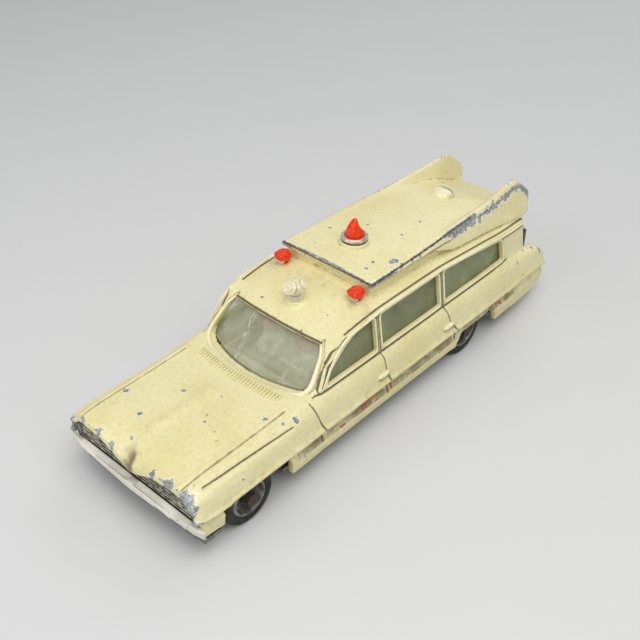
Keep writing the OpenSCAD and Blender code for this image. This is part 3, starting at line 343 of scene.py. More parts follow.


# Colours of the aged, chipped paint, its soiling and its painted shade; a pair is mixed by a noise
SPOT = rgb(204, 187, 126)
GRIME_AND_SHADE = rgb(72, 60, 38), rgb(124, 102, 62)
RED_SCRAP = rgb(140, 62, 46), rgb(190, 112, 88)
SCUFF = rgb(112, 94, 58)
PALE_CHIP = rgb(247, 241, 208)
TORN_EDGE = rgb(250, 246, 222)
BARE_METAL = rgb(126, 129, 130), rgb(184, 186, 185)
LINE_DIRT_AND_SHADE = rgb(48, 40, 27), rgb(88, 74, 48)


def enamel(name, pale, aged):
    """Cream paint: mottled with age, soiled and darkened with painted shade in the corners, chipped to bare
    metal, with scraps of red and dark lines that are mostly painted shade.
    """
    look = Look(name)
    wear, grime_and_shade, stripe, line = look.painted()
    torn = look.noise(1.3, 8, 0.7)
    fine = look.noise(0.45)
    colour = look.mix(look.span(look.noise(13), 0.35, 0.7), rgb(*pale), rgb(*aged))
    colour = look.mix(look.span(look.noise(0.9), 0.42, 0.72, 0, 0.3), colour, SPOT)
    # The second share darkens the paint: soiling, and painted shade in corners, creases and under overhangs
    dirt_and_shade = look.span(look.ragged(grime_and_shade, look.noise(2.0, 6), 0.75), 0.15, 0.85)
    colour = look.mix(look.times(dirt_and_shade, 0.86), colour, look.mix(fine, *GRIME_AND_SHADE))
    red = look.span(look.ragged(stripe, torn, 1.6), 0.44, 0.5)
    colour = look.mix(red, colour, look.mix(fine, *RED_SCRAP))

    specks = look.span(look.noise(0.62, 3, 0.6), 0.65, 0.72, 0, 0.66)
    scuffs = look.span(look.noise(1.1, 5, 0.6, look.stretched(0.45, 1, 1)), 0.665, 0.71, 0, 0.75)
    gathered = look.span(look.noise(7, 3), 0.44, 0.62, 0.28, 1)
    marks = look.times(look.math("MAXIMUM", specks, scuffs), gathered)
    colour = look.mix(marks, colour, SCUFF)

    chip = look.noise(3.4, 9, 0.72)
    colour = look.mix(look.span(chip, 0.64, 0.66, 0, 0.7), colour, PALE_CHIP)
    torn_wear = look.ragged(wear, torn, 1.5)
    bare = look.math("MAXIMUM", look.span(torn_wear, 0.48, 0.53), look.span(chip, 0.67, 0.685))
    colour = look.mix(look.span(torn_wear, 0.37, 0.46, 0, 0.8), colour, TORN_EDGE)
    metal = look.mix(look.span(look.noise(0.7, 6, 0.65), 0.35, 0.65), *BARE_METAL)
    colour = look.mix(bare, colour, metal)
    # Dark lines: dark joints in the engraved lines, and painted shade beside trim, in grooves and under
    # overhangs
    drawn = look.span(look.ragged(line, fine, 0.35), 0.25, 0.75, 0, 0.9)
    colour = look.mix(drawn, colour, look.mix(fine, *LINE_DIRT_AND_SHADE))

    gloss = look.span(look.noise(3), 0.3, 0.7, 0.28, 0.44)
    look.set(
        Base_Color=colour,
        Roughness=look.blend(look.math("MAXIMUM", bare, dirt_and_shade), gloss, 0.54),
        Metallic=look.times(bare, 0.4),
        Coat_Weight=0.12,
        Coat_Roughness=0.25,
    )
    grain = look.math("SUBTRACT", look.times(look.noise(0.7, 3), 0.35), bare)
    look.bump(grain, 0.04, 0.7)
    return look.material


CREAM = enamel("worn_cream_enamel", (238, 229, 178), (231, 219, 160))
# A lighter copy of the cream: a painted highlight for the raised trim and the vent
HIGHLIT_CREAM = enamel("highlit_cream_enamel", (249, 243, 203), (243, 234, 184))


def simple(name, light, dark, size_mm, rough, bump_mm, metallic=0.0):
    """A material of two tones mixed at one grain size, with its own roughness and bump."""
    look = Look(name)
    grain = look.noise(size_mm, 6, 0.6)
    look.set(
        Base_Color=look.mix(look.span(grain, 0.3, 0.7), rgb(*dark), rgb(*light)),
        Roughness=look.span(look.noise(size_mm * 2.5), 0.3, 0.7, *rough),
        Metallic=metallic,
    )
    look.bump(grain, bump_mm, 0.6)
    return look.material


def silver():
    """Dull silver, darkened by the wear share and in chips: rubbed through to dark metal on its edges, and
    painted shade along the lowest part of the bumpers.
    """
    look = Look("rubbed_silver")
    wear = look.painted()[0]
    torn = look.noise(1.6, 7, 0.66)
    tone = look.mix(look.span(look.noise(6), 0.35, 0.7), rgb(242, 239, 226), rgb(214, 210, 196))
    worn_and_shaded = look.span(look.ragged(wear, torn, 1.3), 0.44, 0.56)
    chips = look.span(look.noise(1.9, 7, 0.7), 0.625, 0.66)
    dark = look.math("MAXIMUM", worn_and_shaded, chips)
    look.set(
        Base_Color=look.mix(dark, tone, look.mix(torn, rgb(62, 60, 57), rgb(112, 109, 104))),
        Roughness=look.span(look.noise(2), 0.3, 0.7, 0.36, 0.55),
        Metallic=0.12,
    )
    look.bump(look.math("SUBTRACT", look.times(torn, 0.3), dark), 0.04, 0.7)
    return look.material


def grille_finish():
    """Silver on the bars, with black on the plate between them: soiling and painted shade in the recess."""
    look = Look("grille_silver")
    depth = look.ragged(look.along(0), look.noise(1.1, 5), 0.6 * MM)
    front = look.span(depth, 60.8 * MM, 61.35 * MM)
    bright = look.mix(look.span(look.noise(1.2, 6, 0.65), 0.4, 0.62), rgb(112, 108, 96), rgb(204, 199, 182))
    look.set(
        # Black between the bars: soiling and painted shade
        Base_Color=look.mix(front, look.mix(look.noise(0.8), rgb(24, 23, 21), rgb(52, 49, 44)), bright),
        Roughness=look.blend(front, 0.75, 0.45),
        Metallic=look.times(front, 0.4),
    )
    look.bump(look.noise(0.5), 0.03, 0.6)
    return look.material


def clear_green():
    """Thin aged plastic with a green tint; the windscreen is painted lighter and paler, painted light where
    it faces up to the lamps, and also has a crack.
    """
    look = Look("green_clear_plastic")
    haze = look.noise(5, 5, 0.6)
    scratch = look.noise(0.8, 3, 0.6, look.stretched(0.25, 1, 1.6))
    normal = look.add("ShaderNodeTexCoord").outputs["Normal"]
    front = look.span(look.along(0, normal), 0.25, 0.4)
    slant = look.math("ADD", look.along(1), look.times(look.along(2), 0.25))
    wandering = look.ragged(look.math("ADD", slant, 0.625 * MM), look.noise(2.2, 3), 1.6 * MM)
    off = look.math("ABSOLUTE", wandering)
    smear = look.span(look.noise(1.1, 4, 0.6), 0.36, 0.62, 0.25, 1)
    crack = look.times(look.times(look.span(off, 0.1 * MM, 0.75 * MM, 0.6, 0), smear), front)
    side = look.mix(haze, rgb(158, 168, 126), rgb(190, 196, 150))
    rear = look.span(look.along(0), -20 * MM, -16 * MM, 1, 0)
    flank = look.blend(rear, look.span(haze, 0.3, 0.7, 0.28, 0.42), look.span(haze, 0.3, 0.7, 0.4, 0.55))
    # The windscreen's lighter colour is painted light
    screen = look.mix(haze, rgb(214, 220, 184), rgb(246, 244, 216))
    look.set(
        Base_Color=look.mix(crack, look.mix(front, side, screen), rgb(232, 229, 204)),
        Roughness=look.span(scratch, 0.35, 0.75, 0.08, 0.3),
        Alpha=look.math("MAXIMUM", crack, look.blend(front, flank, look.span(haze, 0.3, 0.7, 0.2, 0.32))),
        IOR=1.46,
    )
    look.bump(look.noise(4, 3), 0.03, 0.4)
    return look.material


def clear_red():
    """Bright clear red; the wear share turns it to a pale metal tip."""
    look = Look("red_clear_plastic")
    tip = look.painted()[0]
    scuff = look.noise(0.7, 6, 0.62)
    red = look.mix(look.span(scuff, 0.35, 0.7), rgb(232, 34, 4), rgb(250, 80, 14))
    pale = look.mix(look.noise(0.4), rgb(178, 170, 160), rgb(226, 220, 210))
    look.set(
        Base_Color=look.mix(look.span(look.ragged(tip, scuff, 0.6), 0.42, 0.56), red, pale),
        Roughness=look.span(scuff, 0.3, 0.7, 0.12, 0.32),
        Transmission_Weight=look.span(tip, 0.3, 0.6, 0.08, 0),
        Specular_IOR_Level=0.35,
        IOR=1.47,
        Coat_Weight=0.15,
        Coat_Roughness=0.1,
    )
    look.bump(look.noise(0.5), 0.04, 0.5)
    return look.material


def siren_finish():
    """Clear yellowed plastic, with painted white glints by the wear share and brown painted shade in its
    creases by the second share.
    """
    look = Look("clear_siren_plastic")
    glint, crease, *_ = look.painted()
    haze = look.noise(1.4, 5, 0.6)
    colour = look.mix(haze, rgb(236, 226, 182), rgb(252, 247, 226))
    # Brown painted shade in the creases
    colour = look.mix(look.span(crease, 0.2, 0.8, 0, 0.85), colour, rgb(112, 92, 58))
    marks = look.math("MAXIMUM", glint, crease)
    look.set(
        # Painted white glints
        Base_Color=look.mix(glint, colour, rgb(255, 252, 240)),
        Roughness=look.span(haze, 0.3, 0.7, 0.05, 0.16),
        Alpha=look.math("MAXIMUM", look.span(haze, 0.3, 0.7, 0.32, 0.5), marks),
        IOR=1.48,
        Coat_Weight=0.5,
        Coat_Roughness=0.06,
    )
    look.bump(look.noise(0.8), 0.05, 0.6)
    return look.material


def spun_hub():
    """Turned aluminium: fine rings about the axle, darkening to brown towards the middle with soiling and
    painted shade.
    """
    look = Look("spun_aluminium")
    blotch = look.noise(2.2, 5, 0.6)
    rings = look.noise(1.0, 2, 0.5, look.stretched(0.02, 6, 0.02))
    tone = look.mix(look.span(blotch, 0.4, 0.68), rgb(150, 148, 142), rgb(92, 84, 74))
    tone = look.mix(look.span(rings, 0.3, 0.7, 0, 0.3), tone, rgb(150, 146, 138))
    ahead = [look.math("ABSOLUTE", look.math("SUBTRACT", look.along(0), x * MM)) for x in AXLE_X]
    nearest = look.math("MINIMUM", *ahead)
    up = look.math("SUBTRACT", look.along(2), AXLE_Z * MM)
    squares = [look.times(way, way) for way in (nearest, up)]
    radius = look.math("SQRT", look.math("ADD", *squares))
    inner = look.span(radius, 2.4 * MM, 3.4 * MM, 0.92, 0)
    # Soiling and painted shade round the axle
    dirt_and_shade = look.times(inner, look.span(blotch, 0.25, 0.6, 0.7, 1))
    look.set(
        Base_Color=look.mix(dirt_and_shade, tone, rgb(40, 34, 26)),
        Roughness=look.blend(dirt_and_shade, look.span(blotch, 0.3, 0.7, 0.26, 0.5), 0.7),
        Metallic=look.blend(dirt_and_shade, 0.9, 0.2),
    )
    look.bump(rings, 0.02, 0.5)
    return look.material


def axle_finish():
    """Brown rust flaking off dull steel."""
    look = Look("rusted_steel")
    flake = look.noise(0.6, 7, 0.65)
    look.set(
        Base_Color=look.mix(look.span(flake, 0.38, 0.62), rgb(62, 40, 28), rgb(92, 80, 70)),
        Roughness=look.span(flake, 0.3, 0.7, 0.45, 0.8),
        Metallic=look.span(flake, 0.4, 0.65, 0.2, 0.8),
    )
    look.bump(flake, 0.05, 0.7)
    return look.material


def figure_finish():
    """A white coat, pink skin where the wear share says so, and dark hair by the stripe share."""
    look = Look("painted_figure_plastic")
    skin_share, shade, hair, _ = look.painted()
    skin = look.mix(look.noise(1.2), rgb(216, 152, 124), rgb(232, 178, 152))
    strands = look.mix(look.noise(0.4), rgb(58, 40, 28), rgb(88, 62, 44))
    skin = look.mix(look.span(hair, 0.35, 0.6), skin, strands)
    cloth = look.mix(look.span(look.noise(1.6, 5), 0.35, 0.7), rgb(232, 230, 220), rgb(206, 202, 188))
    colour = look.mix(look.span(look.ragged(skin_share, look.noise(0.6, 3), 0.3), 0.42, 0.58), cloth, skin)
    look.set(
        Base_Color=look.mix(look.span(shade, 0.2, 0.9, 0, 0.6), colour, rgb(96, 66, 52)),
        Roughness=look.span(look.noise(2), 0.3, 0.7, 0.42, 0.6),
    )
    look.bump(look.noise(0.5), 0.03, 0.6)
    return look.material


SILVER = silver()
GRILLE = grille_finish()
GREEN_CLEAR = clear_green()
RED_CLEAR = clear_red()
SIREN_CLEAR = siren_finish()
SPUN = spun_hub()
RUSTED = axle_finish()
FIGURE = figure_finish()
PLATE = simple("dull_plated_sheet", (150, 149, 146), (96, 93, 88), 1.4, (0.34, 0.56), 0.03, 0.75)
RING = simple("bright_turned_metal", (222, 216, 200), (176, 168, 150), 0.9, (0.24, 0.42), 0.02, 0.55)
RIVET = simple("dull_bare_metal", (176, 174, 168), (112, 104, 92), 0.9, (0.3, 0.5), 0.03, 0.8)
TYRE = simple("tyre_rubber", (52, 51, 49), (25, 25, 25), 1.1, (0.62, 0.88), 0.05)
TUB = simple("pale_satin_plastic", (206, 200, 168), (178, 170, 134), 3.0, (0.38, 0.55), 0.03)
FRAME_GREY = simple("grey_matt_plastic", (168, 167, 162), (132, 130, 125), 1.4, (0.45, 0.62), 0.03)
MATTRESS = simple("white_matt_plastic", (226, 222, 210), (196, 190, 174), 1.8, (0.5, 0.7), 0.04)
BLANKET = simple("red_matt_plastic", (166, 48, 36), (128, 34, 26), 1.2, (0.52, 0.72), 0.05)


# Body casting: the CAD shape with soft edges, engraved lines, chipped and soiled paint, and painted shade
# Engraved by length and height: a line along the front wing, then the doors' shut lines
ENGRAVED = [
    [(58.8, 16.8), (35, 16.8)],
    [(28.9, 18.7), (28.4, 16.5), (27.6, 13.6), (26.8, 11.6), (27.0, 8.0)],
    [(5.8, 18.7), (5.6, 15), (4.8, 11.6), (4.8, 7.5)],
    [(-17.6, 19), (-18.6, 15), (-20.9, 11.6), (-21.0, 8.5)],
]
# Chips on the bonnet's lip and marks along the stripe, each a place and a size; the dirt is a share by length
CHIPPED_LIP = [(-14.2, 0.7), (-9.2, 1.0), (-5.2, 0.9), (7.4, 1.3), (12.2, 1.9), (17.3, 2.2), (20.2, 1.2)]
STRIPE_SCRAPS = [
    (20.6, 1.6), (13.6, 1.2), (8.6, 2.6), (3.4, 1.4), (-15.6, 2.0), (-30, 1.8), (-37, 2.6), (-41.5, 1.6),
]
STRIPE_BARE = [
    (33, 1.4), (30.2, 1.0), (25, 0.9), (16.8, 2.2), (5.8, 0.9), (-3, 1.6), (-11, 1.8), (-20, 1.2),
    (-33.5, 1.4), (-46, 1.2),
]
DIRT_X = np.linspace(-58, 60, 46)
STRIPE_DIRT = list(zip(DIRT_X, np.random.default_rng(11).uniform(0.1, 0.56, len(DIRT_X))))
# Single chips seen from above: length, width and size
TOP_CHIPS = [
    (54.8, -5.7, 0.7), (44.1, -4.1, 0.8), (59.8, -2.1, 0.6), (47.6, 6.0, 0.5), (38.5, 14.0, 0.9),
    (33.7, 18.1, 0.9), (36.5, 17.2, 0.5), (50.1, 20.2, 0.8), (53.1, 20.2, 0.6), (40.1, 3.0, 0.4),
    (20.1, 6.9, 0.4), (17.8, -7.1, 0.5), (-6.1, 11.1, 1.0), (-2.0, 8.1, 0.5), (0.9, 8.5, 0.5),
    (-6.7, -8.9, 0.6), (-23.4, 4.9, 0.5), (-15.4, 5.7, 0.5), (52, -14, 0.8), (-48, -6, 0.7), (14, 9, 0.4),
    (-57.5, 17.2, 0.6), (-60.4, 18.0, 0.7), (-53.6, 16.9, 0.5), (-59.0, -17.4, 0.8), (-48.5, 18.6, 0.4),
]

# Outlines of the windows: the windscreen's by width and height, the side panes by length and height
SCREEN_HALF = [(12.9, 26.8), (14.2, 25.2), (15.5, 20.0), (15.0, 18.7), (13.0, 18.0), (6.0, 17.95)]
SIDE_PANES = [
    [(24.1, 19.5), (21.7, 23.2), (17.4, 26.1), (13.9, 27.7), (10.0, 28.3), (6.7, 28.3), (6.7, 19.5)],
    [(5.1, 19.5), (5.1, 28.3), (-16.6, 28.3), (-16.6, 19.5)],
    [(-18.2, 19.5), (-18.2, 28.3), (-27.4, 27.5), (-43.0, 25.7), (-43.6, 19.5)],
]
# Edges along the car: the roof's and the drip rail's height, and the width and height of the cap and fins
ROOF_EDGE = [
    (-58, 24.2), (-56.6, 24.4), (-50, 25.3), (-43.4, 26.3), (-35, 27.2), (-27.4, 27.9), (-17.4, 28.8),
    (4.9, 28.9), (14.7, 28.0), (20.3, 27.0),
]
RAIL = [
    (-55.2, 24.7), *((x, z + 0.1) for x, z in ROOF_EDGE[2:-1]),
    (17.6, 27.2), (19.8, 25.8), (22.6, 23.0), (25.2, 19.5),
]
FIN_EDGE_Y = [(-62.3, 11.3), (-54, 11.3), (-43.4, 12.1), (-27.4, 12.6), (-17.4, 13.1), (4.9, 13.5)]
FIN_EDGE_Z = [
    (-62.3, 29.5), (-59.5, 32.0), (-56.4, 34.4), (-54, 35.0), (-49, 34.7), (-43.4, 34.2), (-17.4, 34.0),
    (4.9, 34.0),
]


def along_path(x, points):
    return np.interp(x, *zip(*points))


def cabin_y(z):
    """Half the cabin's width at a height."""
    return np.interp(z, [14.9, 18.9, 28.9, 32.9], [17.8, 17.6, 16.1, 15.5])


def plan_taper(x):
    """How much narrower the cabin is, on each side, than at its middle."""
    tail = smoothstep(0, 1, (D_PILLAR_X + 2 - x) / (D_PILLAR_X + 2 - WALL_X))
    return 1.3 * tail + 0.3 * (x / NOSE_X) ** 2


def side_y(x, z):
    return cabin_y(z) - plan_taper(x)


def screen_x(y, z):
    """The windscreen's length at a width and height: it leans back and bows towards its sides."""
    nose = 31.7 - 11.4 * (z - 17.7) / 9.6
    return nose - np.interp(z, [17.7, 27.3, 32.9], [4.2, 0.8, 0.4]) * (y / (cabin_y(z) - 0.7)) ** 2


def cowl_x(y):
    """The length of the ribbed cowl's middle line."""
    return 33.6 - 0.007 * y * y


def bump_at(value, centre, width):
    return np.exp(-((value - centre) / width) ** 2)


def mark(share, distance, width, where=1):
    """A soft-edged mark, given the distance of each point from its middle."""
    return share * bump_at(distance, 0, width) * where


def crease_distance(x, side):
    beyond = np.maximum(0, np.maximum(x - CREASE_X[1], CREASE_X[0] - x))
    return np.hypot(beyond, side - CREASE_Y)


def engraved_distance(x, z):
    return np.min([path_distance(x, z, line) for line in ENGRAVED], axis=0)


class Surface:
    """The places and directions of a skin's points, and the cap's edge level with each."""

    def __init__(self, skin):
        self.x, self.y, self.z = skin.co.T
        self.side = np.abs(self.y)
        self.normal = skin.normals()
        self.ahead, self.up = self.normal[:, 0], self.normal[:, 2]
        self.outward = self.normal[:, 1] * np.sign(self.y)
        self.edge_y, self.edge_z = along_path(self.x, FIN_EDGE_Y), along_path(self.x, FIN_EDGE_Z)
        self.from_beacon = np.hypot(self.x - BEACON[0], self.y)


def body_skin():
    """The casting with its panels smoothed and its edges kept, its lines cut and its bonnet ridged."""
    skin = Skin("body_shell", VOXEL)
    skin.soften(4)
    calm = np.clip(1 - 9 * np.abs(skin.bend(4)), 0, 1)
    for _ in range(3):
        calm = np.minimum(calm, skin.mean_of_neighbours(calm))
    for _ in range(24):
        skin.pull(0.5 * calm)
    at = Surface(skin)
    x, y, z, side = at.x, at.y, at.z, at.side
    flank = smoothstep(0.1, 0.5, at.outward) * smoothstep(17.2, 17.8, side)
    top = smoothstep(0.5, 0.8, at.up) * smoothstep(14, 15, z)
    cut = mark(0.3, engraved_distance(x, z), 0.28, flank)
    crease = crease_distance(x, side)
    cut += (mark(0.2, crease, 0.3) - mark(0.16, crease - 0.7, 0.35)) * top
    belt = np.abs(z - BELT_LINE_Z) + 10 * np.maximum(0, np.maximum(x - BELT_X[1], BELT_X[0] - x))
    cut += mark(0.25, belt, 0.3, smoothstep(16.8, 17.2, side) * (at.outward > 0.2))
    band = 0.12 * smoothstep(7.4, 7.8, z) * smoothstep(11.2, 10.9, z) * (x < BAND_X[1])
    bead = mark(0.12, z - 11.8, 0.5, x < 60)
    cut += (band - bead) * flank * (x > BAND_X[0])
    along = smoothstep(37.5, 41, x) * (1 - smoothstep(54, 60, x))
    ridge = mark(0.4, y, 1.0 + 0.05 * (60 - x), along * top)
    skin.co += (ridge - cut)[:, None] * at.normal
    skin.pull(0.15)
    return skin


def body_wear(at, proud, in_stripe):
    """Share of bare metal: on proud edges, along the lip and the fins, in single chips and in the stripe."""
    x, y, z, side = at.x, at.y, at.z, at.side
    ends = np.maximum(smoothstep(57, 60, x), smoothstep(-53, -57, x))
    exposed = np.maximum(smoothstep(31, 32.5, z), ends)
    wear = np.clip(3.2 * proud, 0, 0.6) * (0.45 + 0.55 * exposed)
    wear += 0.08 * smoothstep(30, 33, z)
    for place, size in CHIPPED_LIP:
        across, along, high = (y - place) / (0.8 * size), (x - LIP_X) / size, (z - LIP_Z) / 2.6
        wear += 0.7 * np.exp(-across ** 2 - along ** 2 - high ** 2)
    fin = np.hypot(side - at.edge_y - 0.2, z - (at.edge_z - 1.3))
    wear += mark(0.6, fin, 1.2, smoothstep(-20, -27, x) * (at.outward > 0.1))
    for place, across, size in TOP_CHIPS:
        wear += mark(0.85, np.hypot(x - place, y - across), size, (at.up > -0.1) & (z > 14))
    # In turn: screen's upper corners, rear of the fins, cap's front and side edges, wing corners, tail
    wear += mark(0.4, np.hypot(x - 19.8, side - 14.2), 1.0, z > 25)
    wear += mark(0.3, np.hypot(x + 61, z - 31), 2.0, side < 13)
    wear += mark(0.2, np.hypot(x - CAP_X, z - CAP_Z), 0.5, side < 14)
    wear += mark(0.36, np.hypot(side - at.edge_y, z - at.edge_z), 0.6, (x < CAP_X) & (x > -36))
    wear += mark(0.35, np.hypot(x - 62.4, side - 19.8), 1.4) + mark(0.5, np.hypot(x - 62.4, y + 19.6), 2.0)
    wear += mark(0.36, np.hypot(x + 63, z - 14), 1.2)
    for place, size in STRIPE_BARE:
        wear += mark(0.62, x - place, size, in_stripe * smoothstep(8.6, 9.6, z))
    return wear * np.where((at.from_beacon < 4.2) & (z > 34), 0.2, 1)


def body_grime_and_shade(at, proud, hollow, outer, in_stripe):
    """Share of soiling and painted shade: both in corners, before the cap and on its front face; painted
    shade along the bonnet crease, at the fins' feet and low on the flanks; soiling on the nose and in the
    stripe; darker inside.
    """
    x, y, z, side = at.x, at.y, at.z, at.side
    # Concave corners: soiling and painted shade
    grime_and_shade = np.clip(-3.4 * proud, 0, 0.7)
    # Painted shadow along the foot of the fins
    grime_and_shade += 0.22 * smoothstep(0.06, 0.26, hollow) * (x < -25) * (z > 28)
    # Painted shade beside the bonnet crease
    grime_and_shade += mark(0.34, crease_distance(x, side), 0.26, at.up > 0.5)
    grime_and_shade += mark(0.56, y + 0.6, 2.0, smoothstep(57.6, 62.0, x) * (z > 11))
    grime_and_shade += mark(0.5, y - 0.5, 0.6, smoothstep(60.4, 62.4, x) * (z > 11))
    # Painted shade and a light stain before the cap; painted shade with soiling on the cap's front face
    grime_and_shade += 0.26 * smoothstep(13, 8, x) * smoothstep(CAP_X, CAP_X + 1, x) * (z > 28.5) * (z < 33.5)
    grime_and_shade += mark(0.36, x - (CAP_X + 0.2), 0.6, (at.ahead > 0.4) & (z > 29.5) & (z < 34))
    # Painted shade low on the flanks
    grime_and_shade += 0.22 * smoothstep(14.5, 11.5, z) * outer
    inside = (side < 15.2) & (z < 17) & (np.abs(at.up) < 0.9) & (x > WALL_X + 0.5) & (x < 58)
    grime_and_shade = np.where(inside, np.maximum(grime_and_shade, 0.3), grime_and_shade)
    return grime_and_shade + along_path(x, STRIPE_DIRT) * in_stripe


def body_lines(at, outer):
    """Share of dark line: dark joints in the engraved lines, and painted shade beside raised trim, under
    overhangs, in grooves and round the feet of fittings.
    """
    x, y, z, side = at.x, at.y, at.z, at.side
    cabin_side, roof_z = side_y(x, z), along_path(x, ROOF_EDGE)
    cabin = (at.outward > 0.2) & (side > cabin_side - 0.9) & (z > BELT_Z - 1)
    belt = np.where((x < BELT_X[1]) & (x > BELT_X[0]), np.abs(z - BELT_LINE_Z), FAR)
    panes = np.min([path_distance(x, z, pane + pane[:1]) for pane in SIDE_PANES], axis=0)
    roof = np.where(x > -57, np.hypot(side - 16.2 + plan_taper(x), z - roof_z - 0.1), FAR)
    on_pillar = (side > cabin_side - 1.3) & (at.outward > 0.1)
    pillar = np.where(on_pillar, path_distance(x, z, RAIL) + 0.3, FAR)
    on_roof = x < 16
    rail, rail_width = np.where(on_roof, roof, pillar), np.where(on_roof, 0.32, 0.18)
    cap_side = np.where((x < CAP_X) & (x > -34), np.hypot(side - at.edge_y, z - at.edge_z - 0.2), FAR)
    cap_front = np.hypot(x - CAP_X, z - CAP_Z + 0.2)
    cap_foot = np.hypot(side - at.edge_y - 0.5, z - roof_z - 4.2)
    screen = path_distance(side, z, SCREEN_HALF + [(0, 17.95)])
    in_front = (at.ahead > 0.3) & (np.abs(x - screen_x(y, z)) < 1.0)
    cowl = smoothstep(1.35, 1.0, np.abs(x - cowl_x(y))) * smoothstep(12.6, 12.2, side)
    marks = [
        # Dark joints in the engraved lines; the rest is painted shade: under the stripe's ridge, below the
        # belt ledge, beside window frames and drip rails, under and at the foot of the cap, round the
        # beacon's foot, at the windscreen's edge and header, and between the cowl ribs
        mark(0.85, engraved_distance(x, z), 0.22, outer),
        mark(0.75, z - 11.05, 0.2, (side > 18.4) & (x < BAND_X[1]) & (x > BAND_X[0])),
        mark(0.9, belt, 0.26, cabin),
        mark(0.85, panes - 0.5, 0.28, cabin),
        mark(0.95, rail - 0.85, rail_width),
        mark(0.95, cap_side, 0.42),
        mark(0.8, cap_front, 0.4, side < 13.6),
        mark(0.7, cap_foot, 0.3, x < CAP_X),
        mark(0.95, at.from_beacon - 3.2, 0.3, np.abs(z - BEACON[1]) < 0.35),
        mark(0.6, screen - 0.6, 0.22, in_front),
        mark(0.9, z - 26.95, 0.26, in_front & (side < 13)),
        0.42 * cowl * (at.up > 0.4) * (z > 16),
    ]
    # Painted shadow under each door handle
    for place in HANDLE_X:
        under = line_distance(x, z, (place - 1.9, 13.55), (place + 1.9, 13.55))
        marks.append(mark(0.7, under, 0.3, outer))
    return np.max(marks, axis=0)


def body_finish(skin):
    """Shares of bare metal, soiling with painted shade, red stripe and dark line at each point of the
    casting; the dark line is mostly painted shade.
    """
    at = Surface(skin)
    proud, hollow = skin.bend(5), -skin.bend(14)
    outer = smoothstep(0.1, 0.5, at.outward) * (at.side > 17.2)
    in_stripe = smoothstep(7.6, 8.0, at.z) * smoothstep(11.2, 10.9, at.z) * outer
    in_stripe *= (at.side > 18.0) & (at.x < BAND_X[1]) & (at.x > STRIPE_REAR_X)
    stripe = sum(mark(0.54, at.x - place, size, in_stripe) for place, size in STRIPE_SCRAPS)
    wear = body_wear(at, proud, in_stripe)
    grime_and_shade = body_grime_and_shade(at, proud, hollow, outer, in_stripe)
    return np.clip(shares_for(skin.co, wear, grime_and_shade, stripe, body_lines(at, outer)), 0, 1)


def changing(skin, shares):
    """Points whose shares differ from their neighbours', so that painted lines stay crisp."""
    change = np.max([np.abs(share - skin.mean_of_neighbours(share)) for share in shares.T], axis=0)
    return skin.mean_of_neighbours(change) > 0.012


body = body_skin()
body_shares = body_finish(body)
finish_piece("body_casting", body.co, body.quads, CREAM, "body", ["body_shell"], body_shares,
             BODY_FACES, ~changing(body, body_shares))


# Trim laid on the casting: strips with a rounded top
def even_path(points, closed, step=0.5, passes=5):
    """A path through the points in even steps, with its corners eased."""
    path = np.asarray(points + points[:1] if closed else points, float)
    reach = np.append(0, np.cumsum(np.linalg.norm(np.diff(path, axis=0), axis=1)))
    at = np.linspace(0, reach[-1], max(int(reach[-1] / step), 4), endpoint=not closed)
    path = np.column_stack([np.interp(at, reach, values) for values in path.T])
    for _ in range(passes):
        mean = 0.5 * (np.roll(path, 1, axis=0) + np.roll(path, -1, axis=0))
        if not closed:
            mean[[0, -1]] = path[[0, -1]]
        path = 0.5 * (path + mean)
    return path


def tube_faces(rings, sides, closed=False):
    """Faces round a row of rings, with a cap at each end unless the row closes on itself."""
    faces = []
    for ring in range(rings if closed else rings - 1):
        a, b = ring * sides, (ring + 1) % rings * sides
        faces += [[a + k, a + (k + 1) % sides, b + (k + 1) % sides, b + k] for k in range(sides)]
    if not closed:
        faces += [list(range(sides))[::-1], list(range((rings - 1) * sides, rings * sides))]
    return faces


def strip(path, out, width, height, closed=False, taper=0.0):
    """Points and faces of a strip along a path; its ends narrow by the taper share."""
    path = np.asarray(path, float)
    out = np.broadcast_to(np.asarray(out, float), path.shape)
    ahead = np.roll(path, -1, axis=0) - np.roll(path, 1, axis=0) if closed else np.gradient(path, axis=0)
    across = unit(np.cross(out, ahead))
    sides = 10
    turn = np.linspace(0, 2 * np.pi, sides, endpoint=False)
    t = np.linspace(-1, 1, len(path))
    scale = (1 - taper * t ** 6)[:, None, None]
    ring = path[:, None] + scale * (
        0.5 * width * np.cos(turn)[None, :, None] * across[:, None]
        + 0.5 * height * np.sin(turn)[None, :, None] * out[:, None])
    return ring.reshape(-1, 3), tube_faces(len(path), sides, closed)


def joined(strips):
    """The points and faces of several strips as one."""
    points, faces, base = [], [], 0
    for co, polygons in strips:
        points.append(co)
        faces += [[v + base for v in polygon] for polygon in polygons]
        base += len(co)
    return np.vstack(points), faces


def on_side(points, side, closed):
    """A path on the cabin's flank and the flank's outward direction along it."""
    x, z = even_path(points, closed).T
    slope = side_y(x, z + 0.5) - side_y(x, z - 0.5)
    return np.column_stack([x, side * side_y(x, z), z]), unit(np.column_stack([0 * x, side + 0 * x, -slope]))


def on_screen(points):
    """A path on the windscreen and the screen's outward direction along it."""
    y, z = even_path(points, False).T
    lean = screen_x(y, z + 0.5) - screen_x(y, z - 0.5)
    bow = screen_x(y + 0.5, z) - screen_x(y - 0.5, z)
    return np.column_stack([screen_x(y, z), y, z]), unit(np.column_stack([1 + 0 * y, -bow, -lean]))


